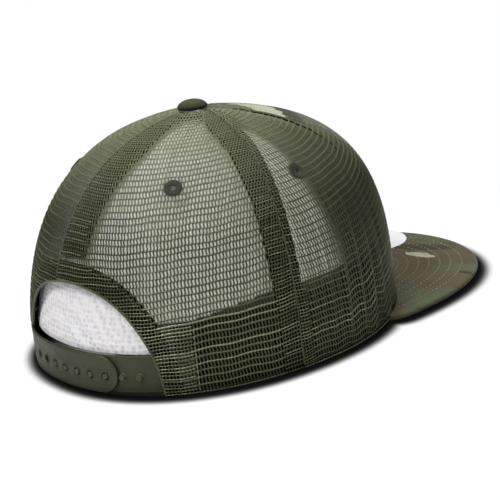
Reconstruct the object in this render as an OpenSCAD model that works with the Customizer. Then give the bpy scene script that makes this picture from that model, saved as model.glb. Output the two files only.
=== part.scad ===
// Six-panel trucker cap: twill front, mesh sides and back, flat visor,
// covered button and a two-strap peg closure over a rear arch.
// Millimetres. +Z is up, the visor points to -Y, +X is the wearer's left.
// The origin is the centre of the head opening, in the plane of the hem.

/* [Crown] */
// Head centre to the forehead, along the hem
front_len = 97.7; // [95:0.5:101]
// Head centre to the back of the hem
back_len = 99.2; // [97:0.5:102]
// Half the width of the hem across the temples
half_wid = 87.3; // [85:0.5:90]
// Height of the crown above the hem
crown_h = 115.8; // [108:1:124]
// Squareness of the hem outline, 2 is an ellipse
hem_power = 2.156; // [2:0.02:2.3]
// How far the top of the crown sits forward of the head centre
apex_fwd = 4.4; // [0:0.5:8]
// Thickness of a crown panel
panel_t = 0.7; // [0.5:0.05:0.75]

/* [Seams] */
// Angle of the front-to-side seam from the centre front
seam_front = 44; // [40:1:50]
// The same seam lower down the crown
seam_mid = 29.5; // [28:0.5:40]
// The same seam at the hem
seam_hem = 36; // [30:1:44]
// Angle of the side-to-back seam from the centre front
seam_back = 97.3; // [92:1:102]
// Width of the seam tape on each side of a plain seam
tape_half = 8; // [5:0.5:9]
// Thickness of the seam tape
tape_t = 0.55; // [0.3:0.05:0.6]

/* [Sweatband] */
// Height of the sweatband at the back
band_h_back = 33; // [26:1:38]
// Height of the sweatband at the front
band_h_front = 38; // [30:1:42]
// Thickness of the sweatband
band_t = 1.5; // [1:0.1:2]

/* [Rear arch] */
// Height of the arch above the hem
arch_h = 51.5; // [44:0.5:56]
// Half the arch's width at the hem, as an angle round the head
arch_half = 39; // [37:0.5:40]
// Width of the binding round the arch
bind_w = 9.5; // [6:0.5:11]

/* [Visor] */
// Head centre to the tip of the visor
visor_len = 167.6; // [150:0.1:175]
// Half the width of the visor
visor_half = 78.4; // [74:0.1:90]
// Thickness of the stiffening board
board_t = 2.2; // [1.5:0.1:3]
// Thickness of each fabric cover
cover_t = 0.6; // [0.4:0.1:0.8]
// Rows of stitching round the visor
stitch_rows = 8; // [4:1:8]
// Distance between stitch rows
stitch_gap = 5.85; // [5:0.05:6]

/* [Strap closure] */
// Height of each strap
strap_h = 19; // [17:0.5:20]
// Thickness of each strap
strap_t = 1.3; // [1:0.05:1.4]
// Distance between holes, and between pegs
pitch = 9.1; // [8.5:0.1:9.4]
// Radius of a strap hole
hole_r = 1.9; // [1.7:0.05:2.1]
// Radius of a peg
peg_r = 1.4; // [1:0.05:1.5]

/* [Eyelets and button] */
// Outer radius of an eyelet's thread ring
eyelet_r = 4.4; // [3.5:0.1:5]
// Radius of an eyelet's hole
eyelet_hole = 1.4; // [1:0.1:2]
// How far the button sits ahead of the middle of the head opening
button_fwd = 0.2; // [0:0.1:5]
// Radius of the button
button_r = 7.75; // [7:0.25:9]
// Height of the button
button_h = 4.6; // [3.5:0.1:5.5]

/* [Hidden] */

col_twill = [0.38, 0.35, 0.26];
col_mesh = [0.33, 0.34, 0.27];
col_dark = [0.16, 0.17, 0.13];
col_strap = [0.26, 0.27, 0.21];
col_white = [0.9, 0.9, 0.9];
col_metal = [0.6, 0.6, 0.6];

panel_rows = 16;
top_lift = 88.4;     // panels stop here, under the button
panel_gap = 0.12;    // half the gap between panels, degrees
mm_per_deg = 1.727;  // hem length of one degree at the back

// depths under the crown surface, from the outside in
buckram_depth = panel_t + 0.25;
mesh_tape_depth = panel_t + 0.4;
front_tape_depth = panel_t + 1.2;  // clears the buckram
band_depth = panel_t + 2.7;
label_depth = band_depth + band_t + 0.2;

// ---- crown surface: turn is the angle from the front, lift the rise angle ----
// dome exponents at [front, side, back]
run_powers = [1.093, 0.771, 0.736];   // plan radius
rise_powers = [0.465, 0.814, 0.952];  // height

function blend(ends, turn) = ends[1] + (ends[0] - ends[1]) * pow(max(cos(turn), 0), 2)
  + (ends[2] - ends[1]) * pow(min(cos(turn), 0), 2);
function hem_radius(turn) = pow(
  pow(abs(cos(turn)) / (cos(turn) > 0 ? front_len : back_len), hem_power)
  + pow(abs(sin(turn)) / half_wid, hem_power), -1 / hem_power);
function plan_radius(turn, lift) = hem_radius(turn) * pow(cos(lift), blend(run_powers, turn));
function crown(turn, lift) = let (radius = plan_radius(turn, lift))
  [radius * sin(turn), -(radius * cos(turn) + apex_fwd * pow(sin(lift), 2)),
   crown_h * pow(sin(lift), blend(rise_powers, turn))];
// outward normal, from points 0.4 degrees to each side
function normal(turn, lift) = let (
  round_head = crown(turn + 0.4, lift) - crown(turn - 0.4, lift),
  upward = crown(turn, min(lift + 0.4, 89.8)) - crown(turn, max(lift - 0.4, 0)),
  out = cross(round_head, upward)) out / norm(out);
// a point at a depth under the surface, never below the hem plane
function inside(turn, lift, depth) = let (v = crown(turn, lift) - depth * normal(turn, lift))
  [v.x, v.y, max(v.z, 0)];
function lift_at(turn, z) = asin(pow(z / crown_h, 1 / blend(rise_powers, turn)));
// rows close up towards the top
function row_lift(row, start = 0) =
  start + (top_lift - start) * (1 - pow(1 - row / panel_rows, 1.25));
function smooth(x) = let (c = max(0, min(1, x))) c * c * (3 - 2 * c);
function spread(from, to, count) = [for (i = [0:count]) from + (to - from) * i / count];

// ---- hem curve in plan ----
function hem_point(turn) = [hem_radius(turn) * sin(turn), -hem_radius(turn) * cos(turn)];
function hem_normal(turn) = let (step = hem_point(turn + 0.3) - hem_point(turn - 0.3),
  out = [step.y, -step.x]) out / norm(out);
function hem_inside(turn, depth) = hem_point(turn) - depth * hem_normal(turn);

// the front-to-side seam leans forward below the shoulder and back again at the hem
function front_seam(lift) = seam_mid + (seam_front - seam_mid) * smooth((lift - 42) / 20)
  + (seam_hem - seam_mid) * smooth((16 - lift) / 16);
// shifts an angle in the front or side panel to follow that seam
function lean(turn, lift) = turn <= seam_front ? turn * front_seam(lift) / seam_front
  : seam_back - (seam_back - turn) * (seam_back - front_seam(lift)) / (seam_back - seam_front);

// ---- arch edge: along runs from 0 at the hem to 90 at the centre back ----
function arch_turn(along, wider = 0) = 180 - (arch_half + wider) * pow(cos(along), 0.625);
function arch_z(along, higher = 0) = (arch_h + higher) * pow(sin(along), 1.143);
arch_steps = [36, 46, 55, 63, 70, 76, 81, 85, 88, 90];

// a thin shell between two matching grids of points
module slab(outer, inner) {
  nu = len(outer) - 1;
  nv = len(outer[0]) - 1;
  function id(side, i, j) = (side * (nu + 1) + i) * (nv + 1) + j;
  quads = concat(
    [for (i = [0:nu - 1], j = [0:nv - 1])
      [id(0, i, j), id(0, i, j + 1), id(0, i + 1, j + 1), id(0, i + 1, j)]],
    [for (i = [0:nu - 1], j = [0:nv - 1])
      [id(1, i, j), id(1, i + 1, j), id(1, i + 1, j + 1), id(1, i, j + 1)]],
    [for (i = [0:nu - 1]) [id(0, i, 0), id(0, i + 1, 0), id(1, i + 1, 0), id(1, i, 0)]],
    [for (i = [0:nu - 1]) [id(0, i, nv), id(1, i, nv), id(1, i + 1, nv), id(0, i + 1, nv)]],
    [for (j = [0:nv - 1]) [id(0, 0, j), id(1, 0, j), id(1, 0, j + 1), id(0, 0, j + 1)]],
    [for (j = [0:nv - 1]) [id(0, nu, j), id(0, nu, j + 1), id(1, nu, j + 1), id(1, nu, j)]]);
  polyhedron([for (grid = [outer, inner]) for (line = grid) each line],
    [for (q = quads) each [[q[0], q[1], q[2]], [q[0], q[2], q[3]]]]);
}

// a shell that follows the crown and the lean of the front seam
module gore(from, to, columns, outer, inner, rows = panel_rows) {
  function grid(depth) = [for (turn = spread(from, to, columns))
    [for (j = [0:rows]) inside(lean(turn, row_lift(j)), row_lift(j), depth)]];
  slab(grid(outer), grid(inner));
}

// moves +Z onto the outward normal at place, a [turn, lift] pair
module at_crown(place, depth = 0) {
  v = normal(place[0], place[1]);
  translate(crown(place[0], place[1]) - depth * v)
    rotate([0, acos(v.z), atan2(v.y, v.x)]) children();
}

// ---- panels ----
eyelet_side = [80.5, 46.5];  // [turn, lift]
eyelet_back = [137, 51];
module eyelet_cut(place) at_crown(place)
  cylinder(r = eyelet_r + 0.2, h = 8, center = true, $fn = 32);

module front_gore(outer, inner, margin = 0, rows = panel_rows)
  gore(panel_gap + margin, seam_front - panel_gap - margin, 7, outer, inner, rows);
module front_panel_left() color(col_twill) front_gore(0, panel_t);
module front_panel_right() color(col_twill) mirror([1, 0, 0]) front_gore(0, panel_t);

module buckram() front_gore(buckram_depth, buckram_depth + 0.5, 0.4, panel_rows - 1);
module buckram_left() color(col_white) buckram();
module buckram_right() color(col_white) mirror([1, 0, 0]) buckram();

module side_gore() difference() {
  gore(seam_front + panel_gap, seam_back - panel_gap, 10, 0, panel_t);
  eyelet_cut(eyelet_side);
}
module side_panel_left() color(col_mesh) side_gore();
module side_panel_right() color(col_mesh) mirror([1, 0, 0]) side_gore();

// the back gore's lower edge follows the hem and then the arch
module back_gore() {
  // columns are [turn, lift of the lower edge]
  hem_columns = [for (turn = spread(seam_back + panel_gap, 180 - arch_half - 1.2, 5)) [turn, 0]];
  arch_columns = [for (along = concat([0, 12, 24], arch_steps))
    let (turn = min(arch_turn(along), 180 - panel_gap)) [turn, lift_at(turn, arch_z(along))]];
  function grid(depth) = [for (c = concat(hem_columns, arch_columns))
    [for (j = [0:panel_rows]) inside(c[0], row_lift(j, c[1]), depth)]];
  difference() {
    slab(grid(0), grid(panel_t));
    eyelet_cut(eyelet_back);
  }
}
module back_panel_left() color(col_mesh) back_gore();
module back_panel_right() color(col_mesh) mirror([1, 0, 0]) back_gore();

// ---- tapes over the seams, inside the crown ----
deg_per_rad = 57.296;
tape_limit = 21.5;  // widest half angle, so that tapes fit side by side at the top
tape_shift = 3;     // the side tapes sit this far back from their seams

// before and after are the widths on the low-angle and high-angle sides
module tape(seam, before, after, depth, start = 0) {
  function centre(lift) = seam == seam_front ? front_seam(lift) : seam;
  function angle(width, lift) = min(width * deg_per_rad / plan_radius(seam, lift), tape_limit);
  function grid(depth) = [for (width = [-before, 0, after]) [for (j = [0:panel_rows - 1])
    let (lift = row_lift(j, start))
    inside(centre(lift) + sign(width) * angle(abs(width), lift), lift, depth)]];
  slab(grid(depth), grid(depth + tape_t));
}
module front_side_tape() tape(seam_front, tape_half, tape_half, front_tape_depth);
module side_back_tape()
  tape(seam_back, tape_half - tape_shift, tape_half + tape_shift, mesh_tape_depth);
module seam_tape_front() color(col_dark) tape(0, tape_half, tape_half, front_tape_depth);
module seam_tape_front_left() color(col_dark) front_side_tape();
module seam_tape_front_right() color(col_dark) mirror([1, 0, 0]) front_side_tape();
module seam_tape_side_left() color(col_dark) side_back_tape();
module seam_tape_side_right() color(col_dark) mirror([1, 0, 0]) side_back_tape();
// lies mostly on the wearer's right of the seam, above the binding
module seam_tape_back() color(col_dark)
  tape(180, 2, 2 * tape_half + 3, mesh_tape_depth, lift_at(180, arch_h + bind_w + 1.5));

// binding round the arch, starting above the straps on each side
module arch_binding() {
  half = concat([30], arch_steps);
  stations = concat(half, [for (i = [len(half) - 2:-1:0]) 180 - half[i]]);
  bind_turn = bind_w / mm_per_deg;
  // [degrees wider, mm higher] than the arch edge
  edges = [[0.4, 0.6], [bind_turn / 2, bind_w / 2], [bind_turn, bind_w]];
  function edge_point(station, edge, depth) = let (
    along = min(station, 180 - station),
    left = arch_turn(along, edge[0]),
    turn = station > 90 ? 360 - left : left)
    inside(turn, lift_at(turn, arch_z(along, edge[1])), depth);
  function grid(depth) = [for (s = stations) [for (edge = edges) edge_point(s, edge, depth)]];
  color(col_dark) slab(grid(mesh_tape_depth), grid(mesh_tape_depth + tape_t));
}

// ---- sweatband and label ----
function band_top(turn) = band_h_back + (band_h_front - band_h_back) * (1 + cos(turn)) / 2;
// top is cut down to the sweatband's own height
module band(from, to, columns, outer, inner, bottom, top = crown_h) {
  function grid(depth) = [for (turn = spread(from, to, columns))
    [for (z = spread(bottom, min(top, band_top(turn)), 4)) inside(turn, lift_at(turn, z), depth)]];
  slab(grid(outer), grid(inner));
}
module sweatband() color(col_dark)
  band(-137, 137, 56, band_depth, band_depth + band_t, bottom = 0.8);
// on the wearer's left
module inner_label() color(col_white)
  band(80, 98, 4, label_depth, label_depth + 0.3, bottom = 5, top = 27);

// ---- eyelets: four stitched rings, in the mesh ----
module ring() rotate_extrude($fn = 48)
  translate([(eyelet_r + eyelet_hole) / 2, 0])
    polygon([for (a = [0:20:340]) [(eyelet_r - eyelet_hole) / 2 * cos(a), 0.65 * sin(a)]]);
module eyelets() color(col_mesh) for (s = [0, 1]) mirror([s, 0, 0])
  for (place = [eyelet_side, eyelet_back]) at_crown(place, panel_t / 2) ring();

// ---- button: fabric cover over a shell, riveted through the crown ----
shell_inset = 0.7;  // shell's outside from the cover's outside
rivet_drop = 4;     // rivet shank's lower end below the button's base

module at_top() translate([0, -button_fwd, crown_h + 0.5]) children();
module dome(radius, height, wall) rotate_extrude($fn = 64) polygon(concat(
  [for (a = [0:6:90]) [radius * cos(a), height * sin(a)]],
  [for (a = [90:-6:0]) [(radius - wall) * cos(a), (height - wall) * sin(a)]]));
module button_cover() color(col_strap) at_top() dome(button_r, button_h, 0.6);
module button_shell() color(col_metal) at_top()
  dome(button_r - shell_inset, button_h - shell_inset, 0.5);
// lower disc, shank and upper disc
module button_rivet() color(col_metal) at_top() {
  translate([0, 0, -rivet_drop - 0.4]) cylinder(r = 6.2, h = 0.8, $fn = 48);
  translate([0, 0, -rivet_drop])
    cylinder(r = 1.6, h = rivet_drop + button_h - 2 * shell_inset, $fn = 32);
  cylinder(r = 5, h = 0.6, $fn = 48);
}

// ---- visor ----
// inset is measured in from the visor's edge, gap out from the hem
visor_t = board_t + 2 * cover_t + 0.2;
rim_start = 30;     // head centre to the widest line of the rim curve
side_share = 0.92;  // share of the rim curve before the rounded corner
cover_gap = 0.4;

// share runs from 0 at the tip to 1 at the widest line
function rim(share, inset) = [(visor_half - inset) * sin(90 * share),
  -(rim_start + (visor_len - rim_start - inset) * pow(cos(90 * share), 0.606))];
function clear_of_hem(v, gap) = norm(v) > hem_radius(atan2(v.x, -v.y)) + gap;
// halves the range until the rim curve meets the hem's gap
function end_share(inset, gap, low = 0, high = 0.98, turns = 14) = turns == 0 ? low :
  let (mid = (low + high) / 2) clear_of_hem(rim(mid, inset), gap)
    ? end_share(inset, gap, mid, high, turns - 1) : end_share(inset, gap, low, mid, turns - 1);
function bezier(a, b, c, count) = [for (i = [1:count]) let (u = i / count)
  (1 - u) * (1 - u) * a + 2 * u * (1 - u) * b + u * u * c];
// the rounded corner runs from the side of the visor in to the hem
function corner_turn(inset, gap) = 52.5 - inset * 0.68 - (gap - cover_gap) * 0.25;
function corner(inset, gap) = let (side = rim(side_share, inset))
  bezier(side, [side.x + 0.4, side.y + 6.2 - inset * 0.3],
    hem_inside(corner_turn(inset, gap), -gap), 8);
function outline(inset, gap) = let (
  left = concat([for (i = [1:18]) rim(side_share * i / 18, inset)], corner(inset, gap)),
  right = [for (i = [len(left) - 1:-1:0]) [-left[i].x, left[i].y]],
  end = corner_turn(inset, gap))
  concat(right, [rim(0, inset)], left,
    [for (i = [1:23]) hem_inside(end - 2 * end * i / 24, -gap)]);

module sheet(inset, gap, z, height)
  translate([0, 0, z]) linear_extrude(height = height) polygon(outline(inset, gap));
module visor_board() color(col_white) sheet(1.4, 1.8, cover_t + 0.1, board_t);
// lower half of the covering, hollowed for the board
module visor_cover() difference() {
  sheet(0, cover_gap, 0, cover_t + board_t / 2 + 0.05);
  sheet(1, 1.1, cover_t, board_t);
}
module visor_bottom_cover() color(col_twill) visor_cover();
module visor_top_cover() color(col_twill)
  translate([0, 0, visor_t]) mirror([0, 0, 1]) visor_cover();

first_row = 8.5;  // inset of the outermost stitch row
thread_w = 0.5;
module visor_stitching() color(col_mesh) translate([0, 0, visor_t + 0.02])
  linear_extrude(height = 0.22) for (k = [0:stitch_rows - 1]) {
    inset = first_row + k * stitch_gap;
    end = end_share(inset, 3);
    polygon(concat([for (i = [-16:16]) rim(end * i / 16, inset)],
      [for (i = [16:-1:-16]) rim(end * i / 16, inset + thread_w)]));
  }
module visor_sticker() color(col_white)
  translate([30, -136, visor_t + 0.3]) cylinder(r = 22, h = 0.15, $fn = 96);

// ---- strap closure ----
strap_z = 0.8;      // bottom of the straps
peg_z = 9.5;        // height of the rows of holes and pegs
split_turn = 145;   // angle where a strap leaves the mesh and its tail
split_half = 0.55;  // half the gap there, degrees
stitch_turn = 131;  // angle of the tail's end seam
first_hole = 37.5;  // hem distance of the first hole from the centre back
closed_peg = 2;     // index of the peg in the first hole
last_index = 6;     // seven holes and seven pegs
tip_extra = 0.4;    // degrees of strap past its tip, cut off by the rounding

// depth of a strap's outer face under the hem curve
function strap_depth(turn, peg) = peg ? strap_t + 0.3 + 0.3 * smooth((turn - 196) / 19)
  : 1.9 * (1 - smooth((turn - 146) / 24));
function turn_at(distance) = 180 + distance / mm_per_deg;
function hole_turn(i) = turn_at(first_hole - i * pitch);
function peg_distance(i) = first_hole + (closed_peg - i) * pitch;

// an upright strip along the hem; peg is true for the peg strap
module ribbon(from, to, peg = false) {
  count = ceil(abs(to - from) / 1.5);
  turns = spread(from, to, count);
  translate([0, 0, strap_z]) linear_extrude(height = strap_h)
    polygon(concat([for (turn = turns) hem_inside(turn, strap_depth(turn, peg))],
      [for (i = [count:-1:0]) hem_inside(turns[i], strap_depth(turns[i], peg) + strap_t)]));
}
// +Z along the hem's outward normal
module at_hem(turn, z, depth = 0) translate(concat(hem_inside(turn, depth), [z]))
  rotate([0, 0, atan2(hem_normal(turn).y, hem_normal(turn).x)]) rotate([0, 90, 0]) children();
// waste outside a half-round strap end: side 1 is towards the wearer's
// right and -1 towards the left
module tip_waste(centre, side) at_hem(centre, strap_z + strap_h / 2, 2) difference() {
  translate([-strap_h, side > 0 ? 0 : -strap_h, -8]) cube([2 * strap_h, strap_h, 16]);
  cylinder(r = strap_h / 2, h = 18, center = true, $fn = 64);
}
tip_turn = strap_h / 2 / mm_per_deg;
module hole_strap() color(col_strap) {
  end = turn_at(first_hole + 7);
  difference() {
    ribbon(split_turn + split_half, end + tip_extra);
    tip_waste(end - tip_turn, 1);
    for (i = [0:last_index]) at_hem(hole_turn(i), peg_z)
      cylinder(r = hole_r, h = 9, center = true, $fn = 32);
  }
}
module peg_strap() color(col_strap) {
  end = turn_at(peg_distance(last_index) - 7.5);
  union() {
    difference() {
      ribbon(end - tip_extra, 360 - split_turn - split_half, peg = true);
      tip_waste(end + tip_turn, -1);
    }
    for (i = [0:last_index]) {
      turn = turn_at(peg_distance(i));
      depth = strap_depth(turn, true);
      at_hem(turn, peg_z, depth + 0.3) cylinder(r = peg_r, h = depth + 0.5, $fn = 32);
    }
  }
}
module tail() ribbon(stitch_turn - 0.8, split_turn - split_half);
module hole_strap_tail() color(col_strap) tail();
module peg_strap_tail() color(col_strap) mirror([1, 0, 0]) tail();

// seam line that holds each tail, on the outside of the mesh
module strap_stitching() {
  function grid(depth) = [for (turn = [stitch_turn, stitch_turn + 0.5])
    [for (j = [0:4]) inside(turn, lift_at(stitch_turn, 1 + 7.5 * j), depth)]];
  color(col_mesh) for (s = [0, 1]) mirror([s, 0, 0]) slab(grid(-0.35), grid(-0.08));
}

front_panel_left();
front_panel_right();
side_panel_left();
side_panel_right();
back_panel_left();
back_panel_right();
buckram_left();
buckram_right();
seam_tape_front();
seam_tape_front_left();
seam_tape_front_right();
seam_tape_side_left();
seam_tape_side_right();
seam_tape_back();
arch_binding();
sweatband();
inner_label();
eyelets();
button_cover();
button_shell();
button_rivet();
visor_board();
visor_top_cover();
visor_bottom_cover();
visor_stitching();
visor_sticker();
hole_strap();
hole_strap_tail();
peg_strap();
peg_strap_tail();
strap_stitching();
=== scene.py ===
# A six-panel mesh-back cap with a camouflage front and bill and two moulded rear straps.
# The bill points to -Y, the wearer's left is +X, +Z is up and the hem lies near z = 0.
# Shapes are worked out in millimetres and degrees, and scaled to metres as meshes are made.
import math

import bpy
import numpy as np
from mathutils import Matrix, Vector


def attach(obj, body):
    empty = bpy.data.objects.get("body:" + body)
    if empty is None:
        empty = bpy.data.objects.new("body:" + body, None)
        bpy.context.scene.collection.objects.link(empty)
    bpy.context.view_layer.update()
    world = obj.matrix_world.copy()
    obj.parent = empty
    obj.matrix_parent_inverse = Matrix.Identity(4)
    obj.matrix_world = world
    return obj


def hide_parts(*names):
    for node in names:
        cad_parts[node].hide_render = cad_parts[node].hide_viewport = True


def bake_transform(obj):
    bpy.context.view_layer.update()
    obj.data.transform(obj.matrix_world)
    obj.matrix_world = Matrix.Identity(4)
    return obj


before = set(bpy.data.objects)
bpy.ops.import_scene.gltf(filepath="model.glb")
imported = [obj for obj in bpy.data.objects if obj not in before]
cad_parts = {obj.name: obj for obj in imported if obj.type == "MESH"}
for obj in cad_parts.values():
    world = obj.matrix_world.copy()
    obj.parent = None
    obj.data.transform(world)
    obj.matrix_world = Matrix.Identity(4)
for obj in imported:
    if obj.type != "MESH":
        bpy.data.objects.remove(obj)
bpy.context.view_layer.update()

MM = 0.001
RADIAN = 57.3             # degrees in a radian, as used for arc lengths

# ---------------------------------------------------------------- crown surface
# "ang" runs round the crown: 0 front, +90 wearer's left, 180 back.
# "alt" climbs it: 0 at the hem, 90 at the top.
FRONT_R, BACK_R, SIDE_R = 97.7, 99.2, 87.3
CROWN_H = 115.8
PLAN_POWER = 2.156        # exponent of the superelliptic hem
TOP_SHIFT = 4.4           # how far the top leans to the front
FRONT_SEAM, BACK_SEAM = 44.0, 97.3
SEWN = 131.0              # where the strap tails are sewn in
ARCH_HALF, ARCH_H = 39.0, 51.5
SIDE_EYELET, BACK_EYELET = (80.5, 46.5), (137.0, 51.0)
PAPER_DEPTH = 6.3


def cosd(ang):
    return np.cos(np.radians(ang))


def sind(ang):
    return np.sin(np.radians(ang))


def smooth(x):
    x = np.clip(x, 0, 1)
    return x * x * (3 - 2 * x)


def bell(x, width):
    return np.exp(-(x / width) ** 2)


def unit(vec):
    return vec / np.linalg.norm(vec, axis=-1, keepdims=True)


def front_back(ang):
    """how much a direction faces the front, and the back"""
    c = cosd(ang)
    return np.where(c > 0, c * c, 0), np.where(c < 0, c * c, 0)


def plan_power(ang):
    front, back = front_back(ang)
    return 0.771 + 0.322 * front - 0.035 * back


def rise_power(ang):
    front, back = front_back(ang)
    return 0.814 - 0.349 * front + 0.138 * back


def hem_r(ang):
    c, s = cosd(ang), sind(ang)
    reach = np.where(c > 0, FRONT_R, BACK_R)
    return (np.abs(c / reach) ** PLAN_POWER + np.abs(s / SIDE_R) ** PLAN_POWER) ** (-1 / PLAN_POWER)


def row_r(ang, alt, least=0.0):
    """plan radius of the crown at a given climb"""
    return hem_r(ang) * np.clip(cosd(alt), least, 1) ** plan_power(ang)


def height(ang, alt):
    return CROWN_H * np.clip(sind(alt), 0, 1) ** rise_power(ang)


def plain(ang, alt):
    """point on the smooth crown"""
    ang, alt = np.broadcast_arrays(np.asarray(ang, float), np.asarray(alt, float))
    r = row_r(ang, alt)
    lean = TOP_SHIFT * np.clip(sind(alt), 0, 1) ** 2
    return np.stack([r * sind(ang), -(r * cosd(ang) + lean), height(ang, alt)], -1)


def normal(ang, alt):
    ang, alt = np.broadcast_arrays(np.asarray(ang, float), np.asarray(alt, float))
    around = plain(ang + 0.4, alt) - plain(ang - 0.4, alt)
    upward = plain(ang, np.minimum(alt + 0.4, 89.8)) - plain(ang, np.maximum(alt - 0.4, 0))
    return unit(np.cross(around, upward))


def alt_at(ang, z):
    share = np.clip(np.asarray(z) / CROWN_H, 0, 1)
    return np.degrees(np.arcsin(share ** (1 / rise_power(ang))))


def front_seam(alt):
    """angle of the front-to-side seam"""
    alt = np.asarray(alt, float)
    return 29.5 + 14.5 * smooth((alt - 42) / 20) + 6.5 * smooth((16 - alt) / 16)


def off_front(ang):
    """angle from the front, 0 to 180, the same on both sides"""
    return np.abs((np.asarray(ang, float) + 180) % 360 - 180)


def seam_near(ang, alt):
    """1 on a seam, fading within a few millimetres"""
    r = np.maximum(row_r(ang, alt, 0.02), 4)
    off = off_front(ang)
    gap = np.minimum(np.minimum(off, np.abs(off - front_seam(alt))),
                     np.minimum(np.abs(off - BACK_SEAM), np.abs(off - 180)))
    return bell(gap * r / RADIAN, 3.2)


def slack(ang, alt):
    """how far the cloth stands off the smooth crown: ripples, bellies and pinched seams"""
    off = off_front(ang)
    left = (np.asarray(ang, float) + 180) % 360 > 180
    low = smooth((44 - alt) / 26)
    wave = 0.62 * np.sin(off * 0.92 + np.where(left, 1.3, 0) + 0.06 * alt) * bell(off - 68, 14) * low
    wave += 0.28 * np.sin(off * 1.71 + 2 + 0.13 * alt) * bell(off - 78, 22) * low
    wave += (0.30 * np.sin(off * 0.47 + 0.09 * alt + np.where(left, 2.2, 0))
             * bell(off - 128, 20) * smooth((70 - alt) / 30))
    wave -= 0.42 * seam_near(ang, alt) * smooth((86 - alt) / 20)
    wave *= smooth(alt / 5)
    level = -0.85 * smooth((alt - 34) / 30) * smooth((84 - alt) / 10)
    top = 0.8 * smooth((alt - 82) / 5) * (0.2 + 0.8 * smooth((off - 50) / 30))
    front = np.minimum(wave, 0.0) * 0.6 + np.maximum(wave, 0.0) * smooth((off - 34) / 12)
    return top + np.where(off < 46, front, wave + level)


def crown(ang, alt, depth=0.0):
    """point at a depth under the cloth surface"""
    ang, alt = np.broadcast_arrays(np.asarray(ang, float), np.asarray(alt, float))
    point = plain(ang, alt) + (slack(ang, alt) - depth)[..., None] * normal(ang, alt)
    point[..., 2] = np.maximum(point[..., 2], 0.02)
    return point


def hem(ang):
    ang = np.asarray(ang, float)
    return np.stack([hem_r(ang) * sind(ang), -hem_r(ang) * cosd(ang)], -1)


def hem_normal(ang):
    step = hem(np.asarray(ang) + 0.3) - hem(np.asarray(ang) - 0.3)
    return unit(np.stack([step[..., 1], -step[..., 0]], -1))


def hem_in(ang, depth):
    """plan point at a depth inside the hem line"""
    return hem(ang) - np.asarray(depth)[..., None] * hem_normal(ang)


def drape(ang, wide=0.0, up=0.0):
    """the slack netting closes the rear opening down to the strap toward the wearer's left"""
    ang = np.mod(np.asarray(ang, float), 360)
    x = np.clip((192 - ang) / (29.5 + wide), 0, 1)
    return np.where(ang < 192, 20.6 + up + 30.5 * np.sqrt(1 - x ** 3), 1e3)


def arch_z(ang, wide=0.0, up=0.0):
    """height of the rear opening's edge, 0 outside it"""
    x = np.clip((180 - off_front(ang)) / (ARCH_HALF + wide), 0, 1)
    return np.minimum((ARCH_H + up) * (1 - x ** 3.2) ** (1 / 1.75), drape(ang, wide, up))


def above_arch(ang, alt, wide=0.0, up=0.0):
    return height(ang, alt) >= arch_z(ang, wide, up)


def edge_mm(ang, alt, seam):
    """arc length from a seam angle"""
    return (np.asarray(ang) - seam) * row_r(ang, alt) / RADIAN


# ---------------------------------------------------------------- mesh helpers
def mesh_object(name, verts, faces, mats):
    mesh = bpy.data.meshes.new(name)
    points = np.asarray(verts, float) * MM
    mesh.from_pydata(points.tolist(), [], faces if isinstance(faces, list) else faces.tolist())
    mesh.update()
    mesh.polygons.foreach_set("use_smooth", np.ones(len(mesh.polygons), bool))
    obj = bpy.data.objects.new(name, mesh)
    bpy.context.scene.collection.objects.link(obj)
    for mat in mats:
        mesh.materials.append(mat)
    return obj


def grid(nu, nv, first=0, flip=False, loop_u=False, loop_v=False):
    """quads over a grid of nu by nv vertices"""
    i, j = np.meshgrid(np.arange(nu if loop_u else nu - 1),
                       np.arange(nv if loop_v else nv - 1), indexing="ij")
    i2, j2 = (i + 1) % nu, (j + 1) % nv
    a, b, c, d = i * nv + j, i2 * nv + j, i2 * nv + j2, i * nv + j2
    return np.stack([a, d, c, b] if flip else [a, b, c, d], -1).reshape(-1, 4) + first


class Bag:
    """collects many small closed shapes into one mesh"""
    def __init__(self):
        self.points, self.faces, self.slots, self.count = [], [], [], 0

    def add(self, points, quads, ends=(), slot=0):
        points = np.asarray(points, float).reshape(-1, 3)
        self.points.append(points)
        self.faces.extend((np.asarray(quads) + self.count).tolist())
        self.faces.extend([self.count + k for k in end] for end in ends)
        self.slots.extend([slot] * (len(quads) + len(ends)))
        self.count += len(points)

    def tube(self, path, normals, width, depth, sides=5, slot=0):
        """elliptic tube; width lies across the normals, depth along them"""
        path = np.asarray(path, float)
        n = len(path)
        along = np.gradient(path, axis=0)
        along /= np.maximum(np.linalg.norm(along, axis=1, keepdims=True), 1e-9)
        out = normals - (normals * along).sum(1, keepdims=True) * along
        out /= np.maximum(np.linalg.norm(out, axis=1, keepdims=True), 1e-9)
        across = np.cross(along, out)
        a = np.arange(sides) * 2 * np.pi / sides
        width, depth = np.broadcast_to(width, (n,)), np.broadcast_to(depth, (n,))
        points = (path[:, None] + (width[:, None] * np.cos(a))[..., None] * across[:, None]
                  + (depth[:, None] * np.sin(a))[..., None] * out[:, None])
        ends = [range(sides - 1, -1, -1), range((n - 1) * sides, n * sides)]
        self.add(points, grid(n, sides, flip=True, loop_v=True), ends, slot)

    def make(self, name, mats):
        obj = mesh_object(name, np.concatenate(self.points), self.faces, mats)
        if any(self.slots):
            obj.data.polygons.foreach_set("material_index", np.array(self.slots, np.int32))
        return obj


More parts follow.
